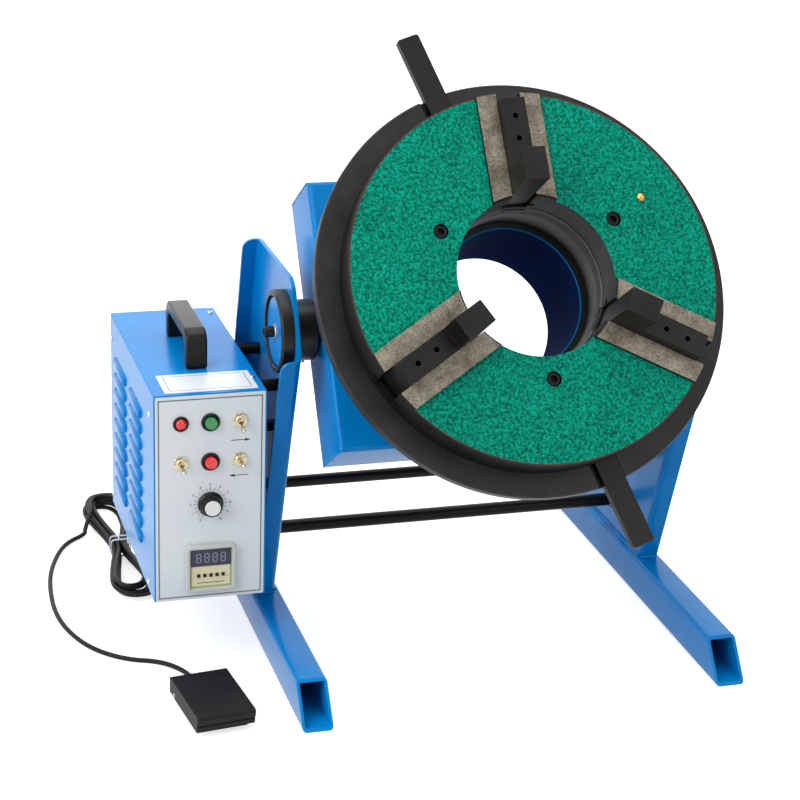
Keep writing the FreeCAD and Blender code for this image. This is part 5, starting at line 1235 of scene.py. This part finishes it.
# %% Cord
CORD_R = 2.4
BOX_RUN = ((-300.3, 226, 110), (-300.3, 262, 110), (-301, 293, 88), (-304, 306, 52), (-309, 322, 22),
           (-313, 350, 14))
FLOOR_RUN = ((-358, 306, 4), (-380, 292, 2.5), (-395, 262, 2.5), (-409, 215, 2.5), (-415, 165, 2.5),
             (-416, 115, 2.5), (-408, 70, 2.5), (-391, 30, 2.5), (-362, 1, 2.5), (-330, -10, 2.5),
             (-312, -36, 4.5), (-306.2, -68.4, 9), (-304, -87.6, 9))
HANK_X, HANK_Y, PITCH, FAN = -327, 253, 4.95, 3.8


def hank_turn(far, near, far_half, near_half, waist, low, rise):
    """One turn's points: out along the right, round the far fold, back on the left, round the near fold."""
    right_up = [(near_half, -82), ((waist + near_half) / 2 + 1, -48), (waist, -14), (waist, 14),
                (far_half * 0.64, 52)]
    left_down = [(-x, y) for x, y in reversed(right_up)]
    ring = [(far_half, 90), (far_half, far - 19), (far_half * 0.56, far), (-far_half * 0.56, far),
            (-far_half, far - 19), (-far_half, 90)]
    ring += left_down
    ring += [(-near_half, near + 18), (-near_half * 0.56, near), (near_half * 0.56, near),
             (near_half, near + 18)]
    ring += right_up
    placed_ring = []
    for number, (x, y) in enumerate(ring):
        height = low + rise * number / len(ring)
        layer = (height - 8) / PITCH
        placed_ring.append((HANK_X + x + FAN * layer * y / 130, HANK_Y + y * (1 + 0.02 * layer), height))
    return placed_ring


turns = hank_turn(139, -119, 22.4, 21, 7.4, 12.8, -PITCH)
turns += hank_turn(135, -116, 22.8, 20.6, 7.4, 12.8 - PITCH, -PITCH)
turns += hank_turn(129, -110, 17.4, 15.6, 2.45, 2.9, PITCH)
turns += hank_turn(126, -107, 17.2, 15.4, 2.45, 2.9 + PITCH, PITCH)
turns += hank_turn(128, -110, 17.4, 15.6, 2.45, 2.9 + 2 * PITCH, PITCH)
last_fold = [(-309.6, 343, 17.8), (-309.6, 360, 17.9), (-317, 378, 18), (-337, 378, 18), (-344.2, 360, 18),
             (-345.5, 342, 17.6), (-351, 326, 14), (-357, 313, 7)]
route = list(BOX_RUN[:-1]) + turns + last_fold + list(FLOOR_RUN)


def cord_piece(name, points, radius):
    """A round cord along one smooth open spline."""
    data = bpy.data.curves.new(name, "CURVE")
    data.dimensions, data.bevel_depth = "3D", radius * MM
    data.bevel_resolution, data.resolution_u = 5, 6
    data.use_fill_caps = True
    line = data.splines.new("NURBS")
    line.points.add(len(points) - 1)
    for point, spot in zip(line.points, points):
        point.co = (*(FRAME @ Vector(spot)), 1)
    line.order_u = 3
    line.use_endpoint_u = True
    piece = add_object(name, data)
    data.materials.append(CORD_SHEATH)
    return piece


def spline_length(piece):
    """The length of the spline itself, read from a copy without its thickness."""
    bare = piece.copy()
    bare.data = piece.data.copy()
    bare.data.bevel_depth = 0
    bpy.context.scene.collection.objects.link(bare)
    bpy.context.view_layer.update()
    line = bpy.data.meshes.new_from_object(bare.evaluated_get(bpy.context.evaluated_depsgraph_get()))
    spots = [vert.co for vert in line.vertices]
    bpy.data.objects.remove(bare)
    return sum((spots[a] - spots[b]).length for a, b in (edge.vertices for edge in line.edges))


pedal_cord = cord_piece("pedal_cord", route, CORD_R)
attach(pedal_cord, "frame")
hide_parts("cord_box_run", "cord_hank", "cord_floor_run")
cord_length = spline_length(pedal_cord)
waist_at = shift(HANK_X, HANK_Y, 10.6) @ EDGEWISE
tie = rounded(21.5, 20.4, 4, -6.4, -3.6, matrix=waist_at)
rounded(21.5, 20.4, 4, 3.6, 6.4, tie, waist_at)
tie_hole = rounded(20.3, 19.2, 3.5, -9, 9, matrix=waist_at)
make_piece("twist_tie", tie, FRAME, "frame", [PAPER_TIE], ["hank_tie"], cutters=[tie_hole])
boot = lathe([(2.45, 0), (7.5, 0), (7.5, 4.5), (6.6, 5.2), (4.8, 6), (5.2, 8), (4.5, 8.6), (4.9, 11),
              (4.1, 11.6), (4.5, 14), (3.7, 14.6), (4.0, 17), (3.3, 17.6), (3.5, 20), (3.0, 21),
              (2.45, 21)], 48)
gland_at = BOX @ shift(-16, BOX_DEEP, 31.7) @ turn_x(-90)
make_piece("gland_boot", boot, gland_at, "frame", [BLACK_PLASTIC], ["cord_gland"])
print("cord %.2f m" % cord_length)

# %% [markdown]
# ## What stays as packed
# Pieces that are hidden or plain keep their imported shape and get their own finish.

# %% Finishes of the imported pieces
KEPT = {"housing_rear_cover": BLUE_ENAMEL, "gearbox": BLACK_ENAMEL, "gear_motor": BLACK_ENAMEL,
        "pinion": GROUND_STEEL, "ring_gear": GROUND_STEEL, "control_board": GREEN_BOARD,
        "transformer": BLACK_STEEL, "rear_sockets": BLACK_PLASTIC, "pedal_base": PEDAL_PLASTIC,
        "pedal_pin": ZINC}
for node, finish in KEPT.items():
    mesh = frame["nodes"][node].data
    mesh.materials.clear()
    mesh.materials.append(finish)
left = [node for node, shown in frame["nodes"].items() if not shown.hide_render and node not in KEPT]
print("packed pieces without a finish of their own:", left)
